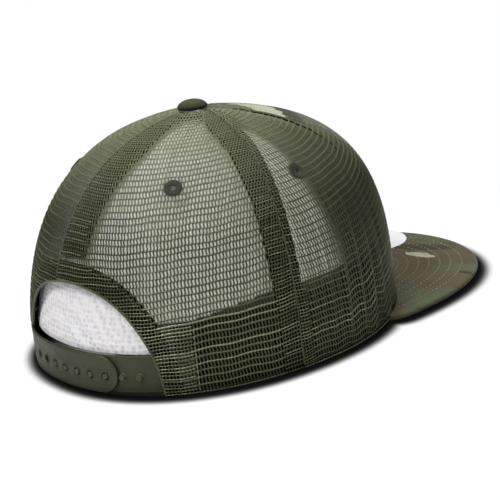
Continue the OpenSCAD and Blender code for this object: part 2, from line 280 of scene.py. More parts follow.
def shell(name, outer, inner, mat):
    """closed solid between two matching grids of points"""
    nu, nv = outer.shape[:2]
    n = nu * nv
    i, j = np.arange(nu - 1) * nv, np.arange(nv - 1)
    k, last = i + nv - 1, (nu - 1) * nv + j
    faces = [grid(nu, nv), grid(nu, nv, n, flip=True)]
    faces.append(np.stack([i, n + i, n + i + nv, i + nv], -1))
    faces.append(np.stack([k, k + nv, n + k + nv, n + k], -1))
    faces.append(np.stack([j, j + 1, n + j + 1, n + j], -1))
    faces.append(np.stack([last, n + last, n + last + 1, last + 1], -1))
    verts = np.concatenate([outer.reshape(-1, 3), inner.reshape(-1, 3)])
    return mesh_object(name, verts, np.concatenate(faces), [mat])


def on_crown(obj, node=None):
    """hand a crown piece over, in place of a CAD node if one is named"""
    if node:
        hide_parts(node)
    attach(obj, "crown")


def point_attr(obj, name, values):
    attr = obj.data.attributes.new(name, "FLOAT", "POINT")
    attr.data.foreach_set("value", np.asarray(values, np.float32).ravel())


def arc(path):
    """running length along a line of points"""
    return np.concatenate([[0], np.cumsum(np.linalg.norm(np.diff(path, axis=0), axis=1))])


def sample(x, dist, points):
    return np.stack([np.interp(x, dist, column) for column in points.T], -1)


def stitch(bag, start, end, out, width, depth, arch=0.10):
    """one arched thread stitch lying on a surface with normal out"""
    k = np.linspace(0, 1, 5)[:, None]
    path = start * (1 - k) + end * k + out * (arch * np.sin(np.pi * k) - 0.06)
    taper = np.sqrt(np.clip(np.sin(np.pi * np.clip(k[:, 0], 0.04, 0.96)), 0.1, 1))
    bag.tube(path, np.repeat(out[None], 5, 0), width * taper, depth * taper, 6)


def lockstitch(bag, ang, alt, depth, start, length):
    """row of stitches along a line on the crown"""
    path, normals = crown(ang, alt, depth), normal(ang, alt)
    dist = arc(path)
    x = start
    while x + 2 < dist[-1]:
        stitch(bag, sample(x, dist, path), sample(x + length, dist, path),
               sample(x, dist, normals), width=0.2, depth=0.16)
        x += 2.9


# ---------------------------------------------------------------- materials
BLACK = (0.0, 0.0, 0.0, 1.0)


def rgb(*levels):
    """linear colour from 0-255 display levels"""
    def linear(c):
        return (c / 255 / 12.92) if c <= 10.3 else ((c / 255 + 0.055) / 1.055) ** 2.4
    return (*map(linear, levels), 1.0)


class Shader:
    """small builder for a principled material"""
    def __init__(self, name, rough, spec, sheen=0.0):
        self.mat = bpy.data.materials.new(name)
        self.mat.use_nodes = True
        self.tree = self.mat.node_tree
        self.inputs = self.tree.nodes["Principled BSDF"].inputs
        self.inputs["Roughness"].default_value = rough
        self.inputs["Specular IOR Level"].default_value = spec
        self.inputs["Sheen Weight"].default_value = sheen
        self.inputs["Sheen Roughness"].default_value = 0.4
        self.coords = self.node("ShaderNodeTexCoord").outputs["Object"]

    def node(self, kind, **settings):
        node = self.tree.nodes.new(kind)
        for key, value in settings.items():
            setattr(node, key, value)
        return node

    def feed(self, socket, value):
        """set a socket to a constant, or link it"""
        if isinstance(value, (int, float, tuple)):
            socket.default_value = value
        else:
            self.tree.links.new(value, socket)

    def noise(self, scale, detail=2.0, rough=0.5):
        node = self.node("ShaderNodeTexNoise")
        self.feed(node.inputs["Vector"], self.coords)
        node.inputs["Scale"].default_value = scale
        node.inputs["Detail"].default_value = detail
        node.inputs["Roughness"].default_value = rough
        return node.outputs["Fac"]

    def wave(self, period, turn, distort):
        """sine bands with a period in mm, turned by angles in radians"""
        mapping = self.node("ShaderNodeMapping")
        mapping.inputs["Rotation"].default_value = turn
        self.feed(mapping.inputs["Vector"], self.coords)
        node = self.node("ShaderNodeTexWave")
        self.feed(node.inputs["Vector"], mapping.outputs[0])
        node.inputs["Scale"].default_value = 0.31416 / (period * MM)
        node.inputs["Distortion"].default_value = distort
        node.inputs["Detail"].default_value = 1.0
        node.inputs["Detail Scale"].default_value = 2.0
        return node.outputs["Fac"]

    def weave(self, period, turn, tilt, distort):
        """two crossed sets of twill ribs, turns in degrees"""
        one = self.wave(period, (0, 0, math.radians(turn)), distort)
        two = self.wave(period, (math.radians(tilt[0]), math.radians(tilt[1]), 0), distort)
        return self.calc("ADD", one, two)

    def calc(self, operation, first, second):
        node = self.node("ShaderNodeMath", operation=operation)
        self.feed(node.inputs[0], first)
        self.feed(node.inputs[1], second)
        return node.outputs[0]

    def mix(self, share, first, second):
        node = self.node("ShaderNodeMix", data_type="RGBA")
        for index, value in ((0, share), (6, first), (7, second)):
            self.feed(node.inputs[index], value)
        return node.outputs[2]

    def ramp(self, value, low, high):
        node = self.node("ShaderNodeMapRange")
        self.feed(node.inputs["Value"], value)
        node.inputs["From Min"].default_value = low
        node.inputs["From Max"].default_value = high
        return node.outputs[0]

    def mottle(self, light, dark, scale, detail=3.0, low=0.3, high=0.7):
        return self.mix(self.ramp(self.noise(scale, detail), low, high), dark, light)

    def height(self):
        node = self.node("ShaderNodeSeparateXYZ")
        self.feed(node.inputs[0], self.coords)
        return node.outputs["Z"]

    def color(self, value):
        self.feed(self.inputs["Base Color"], value)

    def bump(self, relief, strength, depth):
        node = self.node("ShaderNodeBump")
        node.inputs["Strength"].default_value = strength
        node.inputs["Distance"].default_value = depth * MM
        self.feed(node.inputs["Height"], relief)
        self.feed(self.inputs["Normal"], node.outputs[0])

    def attr(self, name):
        return self.node("ShaderNodeAttribute", attribute_name=name).outputs["Fac"]


def net_material(name, light, mid, dark, rough=0.36, spec=0.8):
    shader = Shader(name, rough, spec)
    shader.inputs["Specular Tint"].default_value = (0.80, 0.86, 0.60, 1.0)
    tone = shader.mottle(light, mid, scale=45)
    tone = shader.mix(shader.ramp(shader.noise(scale=900), low=0.35, high=0.7), dark, tone)
    # painted light: the colour lightens toward the top of the crown
    top_light = shader.calc("MULTIPLY", shader.ramp(shader.height(), low=0.074, high=0.116), 0.75)
    shader.color(shader.mix(top_light, tone, rgb(142, 147, 117)))
    shader.bump(shader.wave(period=0.35, turn=(0.6, 0.3, 0.7), distort=0.4),
                strength=0.25, depth=0.05)
    return shader.mat


def fuzzy_ribs(shader, ribs, scale):
    return shader.calc("ADD", ribs, shader.calc("MULTIPLY", shader.noise(scale), 0.8))


def twill_material(name, light, dark, period, rough, sheen):
    shader = Shader(name, rough, spec=0.15, sheen=sheen)
    tone = shader.mottle(light, dark, scale=90)
    ribs = shader.weave(period, turn=40, tilt=(50, 20), distort=0.3)
    shader.color(shader.mix(shader.calc("MULTIPLY", ribs, 0.16), tone, BLACK))
    shader.bump(fuzzy_ribs(shader, ribs, scale=1500), strength=0.5, depth=0.12)
    return shader.mat


def camo_material():
    """brown ground with green, dark and sand shapes from the f_ attributes"""
    shader = Shader("camo_twill", rough=0.84, spec=0.16, sheen=0.2)
    rough_noise = shader.noise(scale=210, detail=3.0, rough=0.6)
    edge = shader.calc("MULTIPLY", shader.calc("SUBTRACT", rough_noise, 0.5), 0.55)

    def tone(light, dark, scale):
        return shader.mottle(light, dark, scale, detail=2, low=0.35, high=0.65)

    color = tone(rgb(105, 95, 67), rgb(96, 86, 60), scale=70)
    # attribute, light tone, dark tone, noise scale
    for name, light, dark, scale in (
            ("f_green", rgb(101, 108, 81), rgb(92, 99, 72), 80),
            ("f_dark", rgb(68, 72, 49), rgb(58, 63, 40), 90),
            ("f_sand", rgb(212, 214, 188), rgb(196, 198, 170), 80)):
        inside = shader.calc("ADD", shader.attr(name), edge)
        color = shader.mix(shader.ramp(inside, -0.012, 0.012), color, tone(light, dark, scale))
    ribs = shader.weave(period=0.62, turn=38, tilt=(52, 10), distort=0.25)
    worn = shader.ramp(shader.noise(scale=420, detail=4, rough=0.7), low=0.35, high=0.75)
    color = shader.mix(shader.calc("MULTIPLY", worn, 0.10), color, rgb(150, 146, 124))
    shader.color(shader.mix(shader.calc("MULTIPLY", ribs, 0.13), color, BLACK))
    shader.bump(fuzzy_ribs(shader, ribs, scale=1600), strength=0.45, depth=0.12)
    return shader.mat


def button_material():
    """painted shade below and painted light on top, by height"""
    shader = Shader("button_twill", rough=0.85, spec=0.15, sheen=0.1)
    color = shader.mix(shader.ramp(shader.height(), low=0.1178, high=0.1212),
                       rgb(24, 26, 14), rgb(80, 84, 62))
    worn = shader.ramp(shader.noise(scale=420, detail=3, rough=0.6), low=0.35, high=0.7)
    shader.color(shader.mix(shader.calc("MULTIPLY", worn, 0.45), color, rgb(52, 55, 38)))
    shader.bump(shader.weave(period=0.6, turn=40, tilt=(50, 20), distort=0.3),
                strength=0.5, depth=0.12)
    return shader.mat


def plastic_material(name, light, dark):
    shader = Shader(name, rough=0.36, spec=0.5)
    shader.inputs["Specular Tint"].default_value = (0.86, 0.9, 0.72, 1.0)
    shader.color(shader.mottle(light, dark, scale=30))
    gloss = shader.ramp(shader.noise(scale=220, detail=3), low=-0.9, high=1.9)
    shader.feed(shader.inputs["Roughness"], gloss)
    shader.bump(shader.noise(scale=900, detail=3, rough=0.6), strength=0.12, depth=0.05)
    return shader.mat


def thread_material(name, light, dark):
    shader = Shader(name, rough=0.55, spec=0.35, sheen=0.3)
    shader.color(shader.mottle(light, dark, scale=700))
    shader.bump(shader.wave(period=0.22, turn=(0.5, 0.4, 0.8), distort=0.2),
                strength=0.4, depth=0.05)
    return shader.mat


def white_material(name, level, rough, glow=0.0):
    shader = Shader(name, rough, spec=0.4)
    shader.color(shader.mottle((level * 0.95, level * 0.95, level * 0.96, 1.0),
                               (level, level, level, 1.0), scale=120))
    shader.bump(shader.noise(scale=700, detail=3), strength=0.15, depth=0.03)
    # emission on a part that is no lamp: painted light
    if glow:
        shader.inputs["Emission Color"].default_value = (1, 1, 1, 1)
        shader.inputs["Emission Strength"].default_value = glow
    return shader.mat


def metal_material():
    shader = Shader("button_metal", rough=0.3, spec=0.5)
    shader.inputs["Metallic"].default_value = 1.0
    shader.color(shader.mottle((0.62, 0.62, 0.6, 1), (0.5, 0.5, 0.49, 1), scale=200))
    shader.bump(shader.noise(scale=800, detail=3), strength=0.1, depth=0.05)
    return shader.mat


# the netting's material slots: wales, a little darker as painted shade for lying deeper, then plain
# cross bars, cross bars lighter as painted highlight, and cross bars darker as painted shade
NET_MATS = [
    net_material("mesh_thread", rgb(70, 74, 48), rgb(57, 61, 38), rgb(46, 50, 29)),
    net_material("mesh_thread_bar", rgb(82, 86, 58), rgb(66, 70, 45), rgb(54, 58, 35),
                 rough=0.28, spec=1.0),
    net_material("mesh_thread_bar_painted_highlight", rgb(136, 140, 112), rgb(108, 112, 84),
                 rgb(90, 94, 66), rough=0.26, spec=1.0),
    net_material("mesh_thread_bar_painted_shade", rgb(62, 66, 42), rgb(52, 56, 34), rgb(42, 46, 27),
                 rough=0.3, spec=0.8)]
BAR_PLAIN, BAR_HIGHLIT, BAR_SHADED = 1, 2, 3
CAMO = camo_material()
TAPE = twill_material("seam_tape", rgb(19, 21, 12), rgb(13, 15, 8),
                      period=0.6, rough=0.95, sheen=0.0)
BAND = twill_material("sweatband_twill", rgb(27, 29, 18), rgb(20, 22, 13),
                      period=0.7, rough=0.9, sheen=0.05)
BUTTON = button_material()
LINING = twill_material("front_lining", rgb(46, 48, 37), rgb(38, 40, 30),
                        period=0.9, rough=0.9, sheen=0.05)
PLASTIC = plastic_material("strap_plastic", rgb(49, 52, 34), rgb(42, 45, 29))
# the peg heads use a lighter copy of the strap plastic: painted highlight
PEG_PLASTIC_HIGHLIT = plastic_material("strap_peg_painted_highlight", rgb(66, 69, 49), rgb(57, 60, 41))
STITCH = thread_material("stitch_thread", rgb(176, 172, 140), rgb(136, 132, 102))
OLIVE_THREAD = thread_material("olive_thread", rgb(84, 88, 62), rgb(60, 64, 42))
EYELET_THREAD = thread_material("eyelet_thread", rgb(54, 59, 34), rgb(28, 31, 17))
STRAP_THREAD = thread_material("strap_seam_thread", rgb(128, 132, 108), rgb(98, 102, 80))
LABEL = white_material("label_satin", level=0.8, rough=0.45)
# the sticker glows a little though it is no lamp: painted light
STICKER = white_material("sticker_satin", level=0.97, rough=0.3, glow=0.16)
BOARD = white_material("board_plastic", level=0.7, rough=0.5)
METAL = metal_material()

# ---------------------------------------------------------------- netting
WALE, BAR = 1.66, 3.3     # pitch of the upright threads and of the cross bars
ROWS_PER_BAR = 4
NET_DEPTH = 0.35
NET_REACH = 95.0          # half-width of the straight-grained cloth
FIRST_BAR = 0.35
HIGHLIGHT_TOP = 34            # most bars below this get the painted-highlight colour


def chart(centre, ang0, ang1):
    """straight grain of a panel: across and up its centre line, to ang and alt"""
    angs = np.linspace(ang0, ang1, 161)
    alts = np.concatenate([np.linspace(0, 80, 161)[:-1], np.linspace(80, 88.7, 60)])
    points = plain(*np.meshgrid(angs, alts))
    steps = np.linalg.norm(np.diff(points, axis=1), axis=2)
    across = np.concatenate([np.zeros((len(alts), 1)), np.cumsum(steps, 1)], 1)
    across -= np.array([np.interp(centre, angs, row) for row in across])[:, None]
    upward = arc(plain(np.full(len(alts), centre), alts))

    def locate(u, v):
        """ang is nan outside the panel"""
        alt = np.interp(v, upward, alts)
        x = np.interp(alt, alts, np.arange(len(alts)))
        i = int(min(x, len(alts) - 2))
        part = x - i
        row = across[i] * (1 - part) + across[i + 1] * part
        return np.interp(u, row, angs, left=np.nan, right=np.nan), alt
    return locate, upward[-1]


def runs(mask):
    """index pairs of unbroken True runs of two or more"""
    ends = np.flatnonzero(np.diff(np.concatenate([[0], mask.astype(int), [0]])))
    return [(a, b) for a, b in zip(ends[::2], ends[1::2]) if b - a >= 2]


def doubled(ang, alt):
    """1 where two layers of netting lie together: along the seams and round the arch"""
    off = off_front(ang)
    gap = edge_mm(off, alt, BACK_SEAM)
    both = (gap >= 0) & (gap < 11) & (off < BACK_SEAM + 25)
    both |= (gap <= 0) & (gap > -7) & (off > BACK_SEAM - 15)
    ang = np.mod(ang, 360)
    gap = edge_mm(ang, alt, 180.0)
    both |= (gap >= 0) & (gap < 17.5) & (ang < 204)
    both |= (off > SEWN) & ~above_arch(ang, alt, 5.2, 9.0)
    return both.astype(float)


def netting(bag, centre, ang0, ang1, inside, seed, allowance=False):
    """knitted mesh where inside() holds; an allowance is bars alone, half a pitch up"""
    locate, top = chart(centre, ang0, ang1)
    draw = np.random.RandomState(seed)
    first = FIRST_BAR + (BAR / 2 if allowance else 0)
    bar_width = 0.31 if allowance else 0.40
    phases = draw.rand(3) * 6

    def wobble(u, v, ang):
        side = bell(off_front(ang) - 64, 15) * smooth((62 - v) / 30)
        return (0.16 * np.sin(u * 0.115 + v * 0.045 + phases[0])
                + 0.11 * np.sin(u * 0.29 - v * 0.07 + phases[1])
                + 0.42 * side * np.sin(u * 0.40 + v * 0.03 + phases[2])) * smooth(v / 6)

    def front_thin(ang):
        return smooth((74 - off_front(ang)) / 16)

    step = BAR / ROWS_PER_BAR
    rows = int(top / step)
    half = int(NET_REACH / WALE)
    wales = np.arange(-half, half + 1) * WALE
    phase = draw.rand(len(wales)) * 0.5
    drift = np.cumsum(draw.randn(len(wales)) * 0.05)
    drift -= np.linspace(drift[0], drift[-1], len(wales))
    ups = first + np.arange(rows) * step
    if not allowance:
        angs, alts = np.full((rows, len(wales)), np.nan), np.zeros(rows)
        for j, v in enumerate(ups):
            zigzag = (0.24 * np.sin(2 * np.pi * (v - first) / BAR)
                      + 0.10 * np.sin(v * 0.11 + phase * 6) + drift * 0.35)
            angs[j], alts[j] = locate(wales + zigzag, v)
        mask = ~np.isnan(angs)
        angs = np.where(mask, angs, centre)
        alts = np.clip(alts[:, None] + wobble(wales[None, :], ups[:, None], angs), 0, 89)
        mask &= inside(angs, alts)
        points, normals = crown(angs, alts, NET_DEPTH), normal(angs, alts)
        knots = np.arange(rows) % ROWS_PER_BAR == 0
        for i in range(len(wales)):
            for a, b in runs(mask[:, i]):
                knot = knots[a:b]
                width = 0.45 * np.where(knot, 1.12, 0.9 + 0.12 * draw.rand())
                width = width * (0.78 + 0.22 * smooth((ups[a:b] - 30) / 14))
                width *= 1 - 0.42 * front_thin(angs[a:b, i])
                width *= 1 - 0.40 * doubled(angs[a:b, i], alts[a:b, i])
                bag.tube(points[a:b, i], normals[a:b, i], width, np.where(knot, 0.26, 0.2))
    # cross bars, beaded where they cross a wale
    across = np.arange(-half * 2, half * 2 + 1) * (WALE / 2)
    bead = np.arange(len(across)) % 2 == 0
    for j in range(0, rows, ROWS_PER_BAR):
        v = ups[j] + 0.12 * draw.randn()
        ang, alt = locate(across, v)
        mask = ~np.isnan(ang)
        ang = np.where(mask, ang, centre)
        alt = np.clip(alt + wobble(across, ups[j], ang), 0, 89)
        thick = 0.8 + 0.45 * draw.rand()
        pick = draw.rand()
        # bars take painted highlight low down and in the allowances, and painted shade higher up
        if v < HIGHLIGHT_TOP:
            slot = BAR_HIGHLIT if pick < 0.6 else BAR_PLAIN
        elif allowance:
            slot = BAR_HIGHLIT if pick < 0.75 else BAR_PLAIN
        else:
            slot = BAR_SHADED if pick < 0.45 else BAR_PLAIN
        mask &= inside(ang, alt)
        points = crown(ang, alt, NET_DEPTH - 0.16 - np.where(bead, 0.10, -0.04))
        normals = normal(ang, alt)
        width = bar_width * np.where(bead, 1.3, 0.78) * thick * (1 - 0.25 * front_thin(ang))
        width *= 1 - 0.34 * doubled(ang, alt)
        depth = np.where(bead, 0.34, 0.17)
        for a, b in runs(mask):
            bag.tube(points[a:b], normals[a:b], width[a:b], depth[a:b], slot=slot)


def build_nets():
    for side, sign in (("left", 1), ("right", -1)):
        left = sign > 0
        side_cloth = (66.0, 27.0, BACK_SEAM + 1) if left else (-66.0, -BACK_SEAM - 1, -27.0)
        back_cloth = (141, BACK_SEAM - 1, 181) if left else (219, 179, 361 - BACK_SEAM)

        def off_eyelet(ang, alt, eyelet):
            centre = plain(eyelet[0] * sign, eyelet[1])
            return np.linalg.norm(plain(ang, alt) - centre, axis=-1) > 2.6

        def in_side(ang, alt):
            off = np.abs(ang)
            return ((off > front_seam(alt) + 0.1) & (off < BACK_SEAM)
                    & off_eyelet(ang, alt, SIDE_EYELET))

        def this_side(ang):
            """back-panel angle as if on the left"""
            return ang if left else 360 - ang

        def in_back(ang, alt):
            off = this_side(ang)
            return ((off > BACK_SEAM) & (off < 180) & above_arch(ang, alt)
                    & off_eyelet(ang, alt, BACK_EYELET))

        def in_back_fold(ang, alt):
            off = this_side(ang)
            ring = ~above_arch(ang, alt, 5.2, 9.0)
            ring |= (height(ang, alt) < 33) & (off > SEWN + 0.3)
            if not left:
                ring |= (edge_mm(ang, alt, 180) < 17.5) & (ang < 204) & (alt < 86)
            seam = (edge_mm(off, alt, BACK_SEAM) < 11) & (off < BACK_SEAM + 25)
            return ((off > BACK_SEAM) & (off < 180) & (alt < 87) & above_arch(ang, alt)
                    & (seam | ((off > SEWN) & ring)))

        def in_side_fold(ang, alt):
            off = np.abs(ang)
            return ((off < BACK_SEAM) & (off > BACK_SEAM - 15)
                    & (edge_mm(off, alt, BACK_SEAM) > -7.0) & (alt < 87))

        bag = Bag()
        netting(bag, *side_cloth, in_side, seed=11 + sign)
        on_crown(bag.make(f"side_netting_{side}", NET_MATS), f"side_panel_{side}")
        bag = Bag()
        netting(bag, *back_cloth, in_back, seed=31 + sign)
        on_crown(bag.make(f"back_netting_{side}", NET_MATS), f"back_panel_{side}")
        # turned-in allowances, a second layer along each seam and round the arch
        bag = Bag()
        netting(bag, *back_cloth, in_back_fold, seed=31 + sign, allowance=True)
        netting(bag, *side_cloth, in_side_fold, seed=11 + sign, allowance=True)
        on_crown(bag.make(f"netting_allowance_{side}", NET_MATS))


build_nets()

# ---------------------------------------------------------------- bill
BILL_HALF, BILL_REACH = 78.4, 167.6
BILL_ROOT = 30            # the bill's outline starts this far in front of the centre
BILL_SIDE = 0.92          # where the outline leaves its curve for the hem
BILL_END = 52.5           # hem angle where the bill ends
QUILT_ROWS = [8.5 + 5.85 * k for k in range(8)]   # distances in from the edge
BILL_TOP_Z = 3.56


def bill_curve(share, inward):
    """outline point; share runs from 0 at the tip to 1 at the left side"""
    share = np.asarray(share, float)
    drop = np.clip(cosd(90 * share), 0, 1) ** 0.606
    return np.stack([(BILL_HALF - inward) * sind(90 * share),
                     -(BILL_ROOT + (BILL_REACH - BILL_ROOT - inward) * drop)], -1)


def bill_edge():
    """outer edge, from the right end to the left"""
    end = hem_in(BILL_END, -0.4)
    side = bill_curve(BILL_SIDE, 0.0)
    pull = side + np.array([0.4, 6.2])
    u = np.linspace(0, 1, 27)[1:, None]
    corner = (1 - u) ** 2 * side + 2 * u * (1 - u) * pull + u * u * end
    curve = bill_curve(BILL_SIDE * np.sin(np.linspace(0, np.pi / 2, 70)), 0.0)
    half = np.concatenate([curve, corner])
    return np.concatenate([(half * [-1, 1])[:0:-1], half])


def inset(x, y):
    """distance inside the bill's edge, found by halving"""
    ahead = np.maximum(-y - BILL_ROOT, 0.01)
    low, high = np.full(x.shape, -5.0), np.full(x.shape, 80.0)
    for _ in range(24):
        mid = (low + high) / 2
        outside = ((np.abs(x) / (BILL_HALF - mid)) ** 2
                   + (ahead / (BILL_REACH - BILL_ROOT - mid)) ** 3.3) > 1
        high = np.where(outside, mid, high)
        low = np.where(outside, low, mid)
    return (low + high) / 2


def beyond_hem(points):
    ang = np.degrees(np.arctan2(points[..., 0], -points[..., 1]))
    return np.linalg.norm(points, axis=-1) - hem_r(ang)


def camo_field(seed, shortest, longest):
    """smooth random field with wavelengths between two lengths"""
    draw = np.random.RandomState(seed)
    waves = unit(draw.randn(28, 3))
    waves = waves * (2 * np.pi / draw.uniform(shortest, longest, (28, 1)))
    waves = waves * np.array([1.0, 1.45, 1.25])
    phases = draw.rand(28) * 6.283
    return lambda points: np.cos(points @ waves.T + phases).sum(-1) / 28 ** 0.5


# green, dark and sand, in that order everywhere
FIELDS = camo_field(3, 26, 60), camo_field(9, 22, 48), camo_field(21, 20, 44)
# shapes placed on the bill, listed one by one: centre x, y, half-length, half-width, angle
BILL_PATCHES = (
    [(-51, -133, 17, 6.0, 35), (-66, -83, 27, 10.5, -12), (10, -160, 24, 5.5, 8),
     (-80, -100, 8, 12, 20), (-75, -84, 7, 22, 12)],
    [(-61, -128, 6.5, 2.0, 10), (-3, -145.5, 22, 5.6, 28), (20, -150, 9, 4, 0)],
    [(-15.5, -135.5, 10.5, 3.0, 12), (-13.5, -136.3, 7.0, 3.0, 26)])


def free_camo(points, shifts, levels):
    return [(field(points + shift) - level) * 0.8
            for field, shift, level in zip(FIELDS, shifts, levels)]


def patches(points, ellipses):
    """positive inside any of the ellipses, in plan"""
    best = np.full(points.shape[:-1], -9.0)
    for x, y, length, width, turn in ellipses:
        dx, dy = points[..., 0] - x, points[..., 1] - y
        c, s = math.cos(math.radians(turn)), math.sin(math.radians(turn))
        u, v = (dx * c + dy * s) / length, (-dx * s + dy * c) / width
        best = np.maximum(best, 1 - np.sqrt(u * u + v * v))
    return best


def bill_camo(points):
    """placed shapes, with free camouflage on the left half only"""
    left = smooth((points[..., 0] + 4) / 22)
    free = free_camo(points, (0, 0, 0), (0.38, 0.78, 1.2))
    return [np.maximum(patches(points, placed), tone * left - (1 - left) * 9)
            for placed, tone in zip(BILL_PATCHES, free)]


def set_camo(obj, tones):
    for name, values in zip(("f_green", "f_dark", "f_sand"), tones):
        point_attr(obj, name, values)


def bill_covers():
    edge = bill_edge()
    share = arc(edge)
    share /= share[-1]
    root = hem_in(np.interp(share, [0, 1], [-BILL_END, BILL_END]), np.full(len(edge), -0.35))
    inward = np.concatenate([[0, 0.0012, 0.004, 0.009, 0.016, 0.026, 0.04],
                             np.linspace(0.06, 1, 72)])
    plan = edge[:, None] * (1 - inward[:, None]) + root[:, None] * inward[:, None]
    span = np.maximum(np.linalg.norm(edge - root, axis=1), 0.6)[:, None]
    dist = np.minimum(inward * span, 50)
    x, y = plan[..., 0], plan[..., 1]
    depth = np.where(dist < 2.0, dist, inset(x, y))
    rounding = np.sqrt(np.clip(1 - (1 - np.clip(dist / 1.75, 0, 1)) ** 2, 0, 1))
    quilt = sum(bell(depth - row, 0.75) for row in QUILT_ROWS)
    quilt = quilt * smooth((beyond_hem(plan) - 1.0) / 4) * rounding
    ripple = 0.05 * np.sin(x * 0.21 + 1) * np.sin(y * 0.17)
    top = 1.82 + 1.80 * rounding - 0.17 * quilt + ripple * rounding
    bottom = np.maximum(1.78 - 1.76 * rounding + 0.10 * quilt, 0.02)
    shrink = np.clip(1 - dist / 3.0, 0, 1)[..., None] * 0.55
    lining = plan + ((root - edge) / span)[:, None] * shrink
    for name, z, node in (("visor_cover_upper", top, "visor_top_cover"),
                          ("visor_cover_lower", bottom, "visor_bottom_cover")):
        upper = z is top
        thick = (-0.5 if upper else 0.5) * rounding
        face = np.concatenate([plan, z[..., None]], -1)
        back = np.concatenate([lining, (z + thick)[..., None]], -1)
        # the grid runs right to left, so the upper cover is wound from its underside
        pair = (back, face) if upper else (face, back)
        obj = shell(name, *pair, CAMO)
        points = np.concatenate([sheet.reshape(-1, 3) for sheet in pair])
        set_camo(obj, bill_camo(points) if upper
                 else free_camo(points, (40, 30, 20), (0.5, 1.1, 1.6)))
        on_crown(obj, node)


def bill_stitches():
    bag = Bag()
    draw = np.random.RandomState(5)
    for row in QUILT_ROWS:
        line = bill_curve(np.linspace(-0.99, 0.99, 1600), row)
        line = line[beyond_hem(line) > 1.6]
        dist = arc(line)
        x = draw.rand() * 2
        while x + 1.7 < dist[-1]:
            start, end = (np.array([*sample(at, dist, line), BILL_TOP_Z])
                          for at in (x, x + 1.75))
            stitch(bag, start, end, np.array([0, 0, 1.0]), width=0.34, depth=0.26, arch=0.2)
            x += 3.55 + 0.15 * draw.randn()
    on_crown(bag.make("visor_stitches", [STITCH]), "visor_stitching")


def sticker():
    """blank disc on the left of the bill, rounded down at its rim"""
    count, rings = 128, 7
    turn = np.linspace(0, 2 * np.pi, count, endpoint=False)[:, None]
    r = np.array([22.0, 21.95, 21.6, 18, 12, 6, 0.6])
    z = np.array([3.70, 3.86, 3.90, 3.90, 3.90, 3.90, 3.90])
    x = 30 + r * np.cos(turn)
    y = -138 + r * np.sin(turn)
    top = np.stack([x, y, z + 0.05 * np.sin(x * 0.3) * r / r[0]], -1)
    under = top.copy()
    under[..., 2] = 3.68
    below = count * rings
    i = np.arange(count) * rings
    following = np.roll(i, -1)
    quads = np.concatenate([grid(count, rings, loop_u=True),
                            grid(count, rings, below, flip=True, loop_u=True),
                            np.stack([i, below + i, below + following, following], -1)])
    middle = i + rings - 1
    faces = quads.tolist() + [middle.tolist(), (below + middle[::-1]).tolist()]
    verts = np.concatenate([top.reshape(-1, 3), under.reshape(-1, 3)])
    on_crown(mesh_object("visor_sticker_blank", verts, faces, [STICKER]),
             "visor_sticker")


bill_covers()
bill_stitches()
sticker()


# ---------------------------------------------------------------- front panels and lining
def front_camo(ang, alt, points):
    """free camouflage, giving way to level bands over the front right shoulder"""
    near = smooth((ang + 52) / 6) * smooth((14 - ang) / 10) * smooth((alt - 34) / 6)
    lean = alt - 0.06 * ang
    bands = (np.maximum(np.minimum(lean - 36, 60.5 - lean), lean - 75.0) / 9,
             np.minimum(lean - 59.5, 67.0 - lean) / 9,
             np.minimum(lean - 66.0, 76.5 - lean) / 9)
    free = free_camo(points, (90, 60, 50), (0.28, 0.66, 1.12))
    return [tone * (1 - near) + band * near for tone, band in zip(free, bands)]


def front_panels():
    for side, sign in (("left", 1), ("right", -1)):
        angs = (np.linspace(0.12, FRONT_SEAM - 0.1, 64) * sign)[::sign]
        alts = 88.4 * (1 - (1 - np.linspace(0, 1, 120)) ** 1.25)
        ang, alt = np.meshgrid(angs, alts, indexing="ij")
        ang = ang * front_seam(alt) / FRONT_SEAM
        outer, inner = crown(ang, alt, -0.05), crown(ang, alt, 0.62)
        # the panel edges turn in at the seams
        off = np.abs(ang)
        gap = np.minimum(np.abs(edge_mm(off, alt, 0.0)),
                         np.abs(edge_mm(off, alt, front_seam(alt))))
        outer -= (0.45 * bell(gap, 0.55))[..., None] * normal(ang, alt)
        obj = shell(f"front_twill_{side}", outer, inner, CAMO)
        points = np.concatenate([outer.reshape(-1, 3), inner.reshape(-1, 3)])
        set_camo(obj, front_camo(np.tile(ang.ravel(), 2), np.tile(alt.ravel(), 2), points))
        on_crown(obj, f"front_panel_{side}")
        ang, alt = ang[1:-1, 2:-6], alt[1:-1, 2:-6]
        obj = shell(f"front_lining_{side}", crown(ang, alt, 0.95), crown(ang, alt, 1.4), LINING)
        on_crown(obj, f"buckram_{side}")


front_panels()


# ---------------------------------------------------------------- tapes, arch, sweatband
def tape_strip(name, node, seam, before, after, depth, low=0.0):
    """tape inside a seam, with its widths to either side"""
    alts = np.linspace(low, 87.0, 110)
    if abs(seam) == FRONT_SEAM:
        seam = front_seam(alts) * np.sign(seam)
    r = row_r(seam, alts)
    back = np.minimum(before * RADIAN / r, 21.5)
    ahead = np.minimum(after * RADIAN / r, 21.5)
    k = np.linspace(0, 1, 11)[:, None]
    ang = seam - back + (back + ahead) * k
    alt = np.broadcast_to(alts, ang.shape)
    hump = 0.10 * np.sin(np.pi * k)
    obj = shell(name, crown(ang, alt, depth - hump), crown(ang, alt, depth + 0.5 - hump), TAPE)
    on_crown(obj, node)


# name, node, seam angle, widths before and after it, depth, lowest alt
for tape in (
        ("tape_front_centre", "seam_tape_front", 0, 8, 8, 1.9),
        ("tape_front_side_left", "seam_tape_front_left", FRONT_SEAM, 8, 8, 1.9),
        ("tape_front_side_right", "seam_tape_front_right", -FRONT_SEAM, 8, 8, 1.9),
        ("tape_side_back_left", "seam_tape_side_left", BACK_SEAM, 5, 11, 1.35),
        ("tape_side_back_right", "seam_tape_side_right", -BACK_SEAM, 11, 5, 1.35),
        ("tape_back_centre", "seam_tape_back", 180, 2, 19, 1.35, float(alt_at(180, 62.5)))):
    tape_strip(*tape)


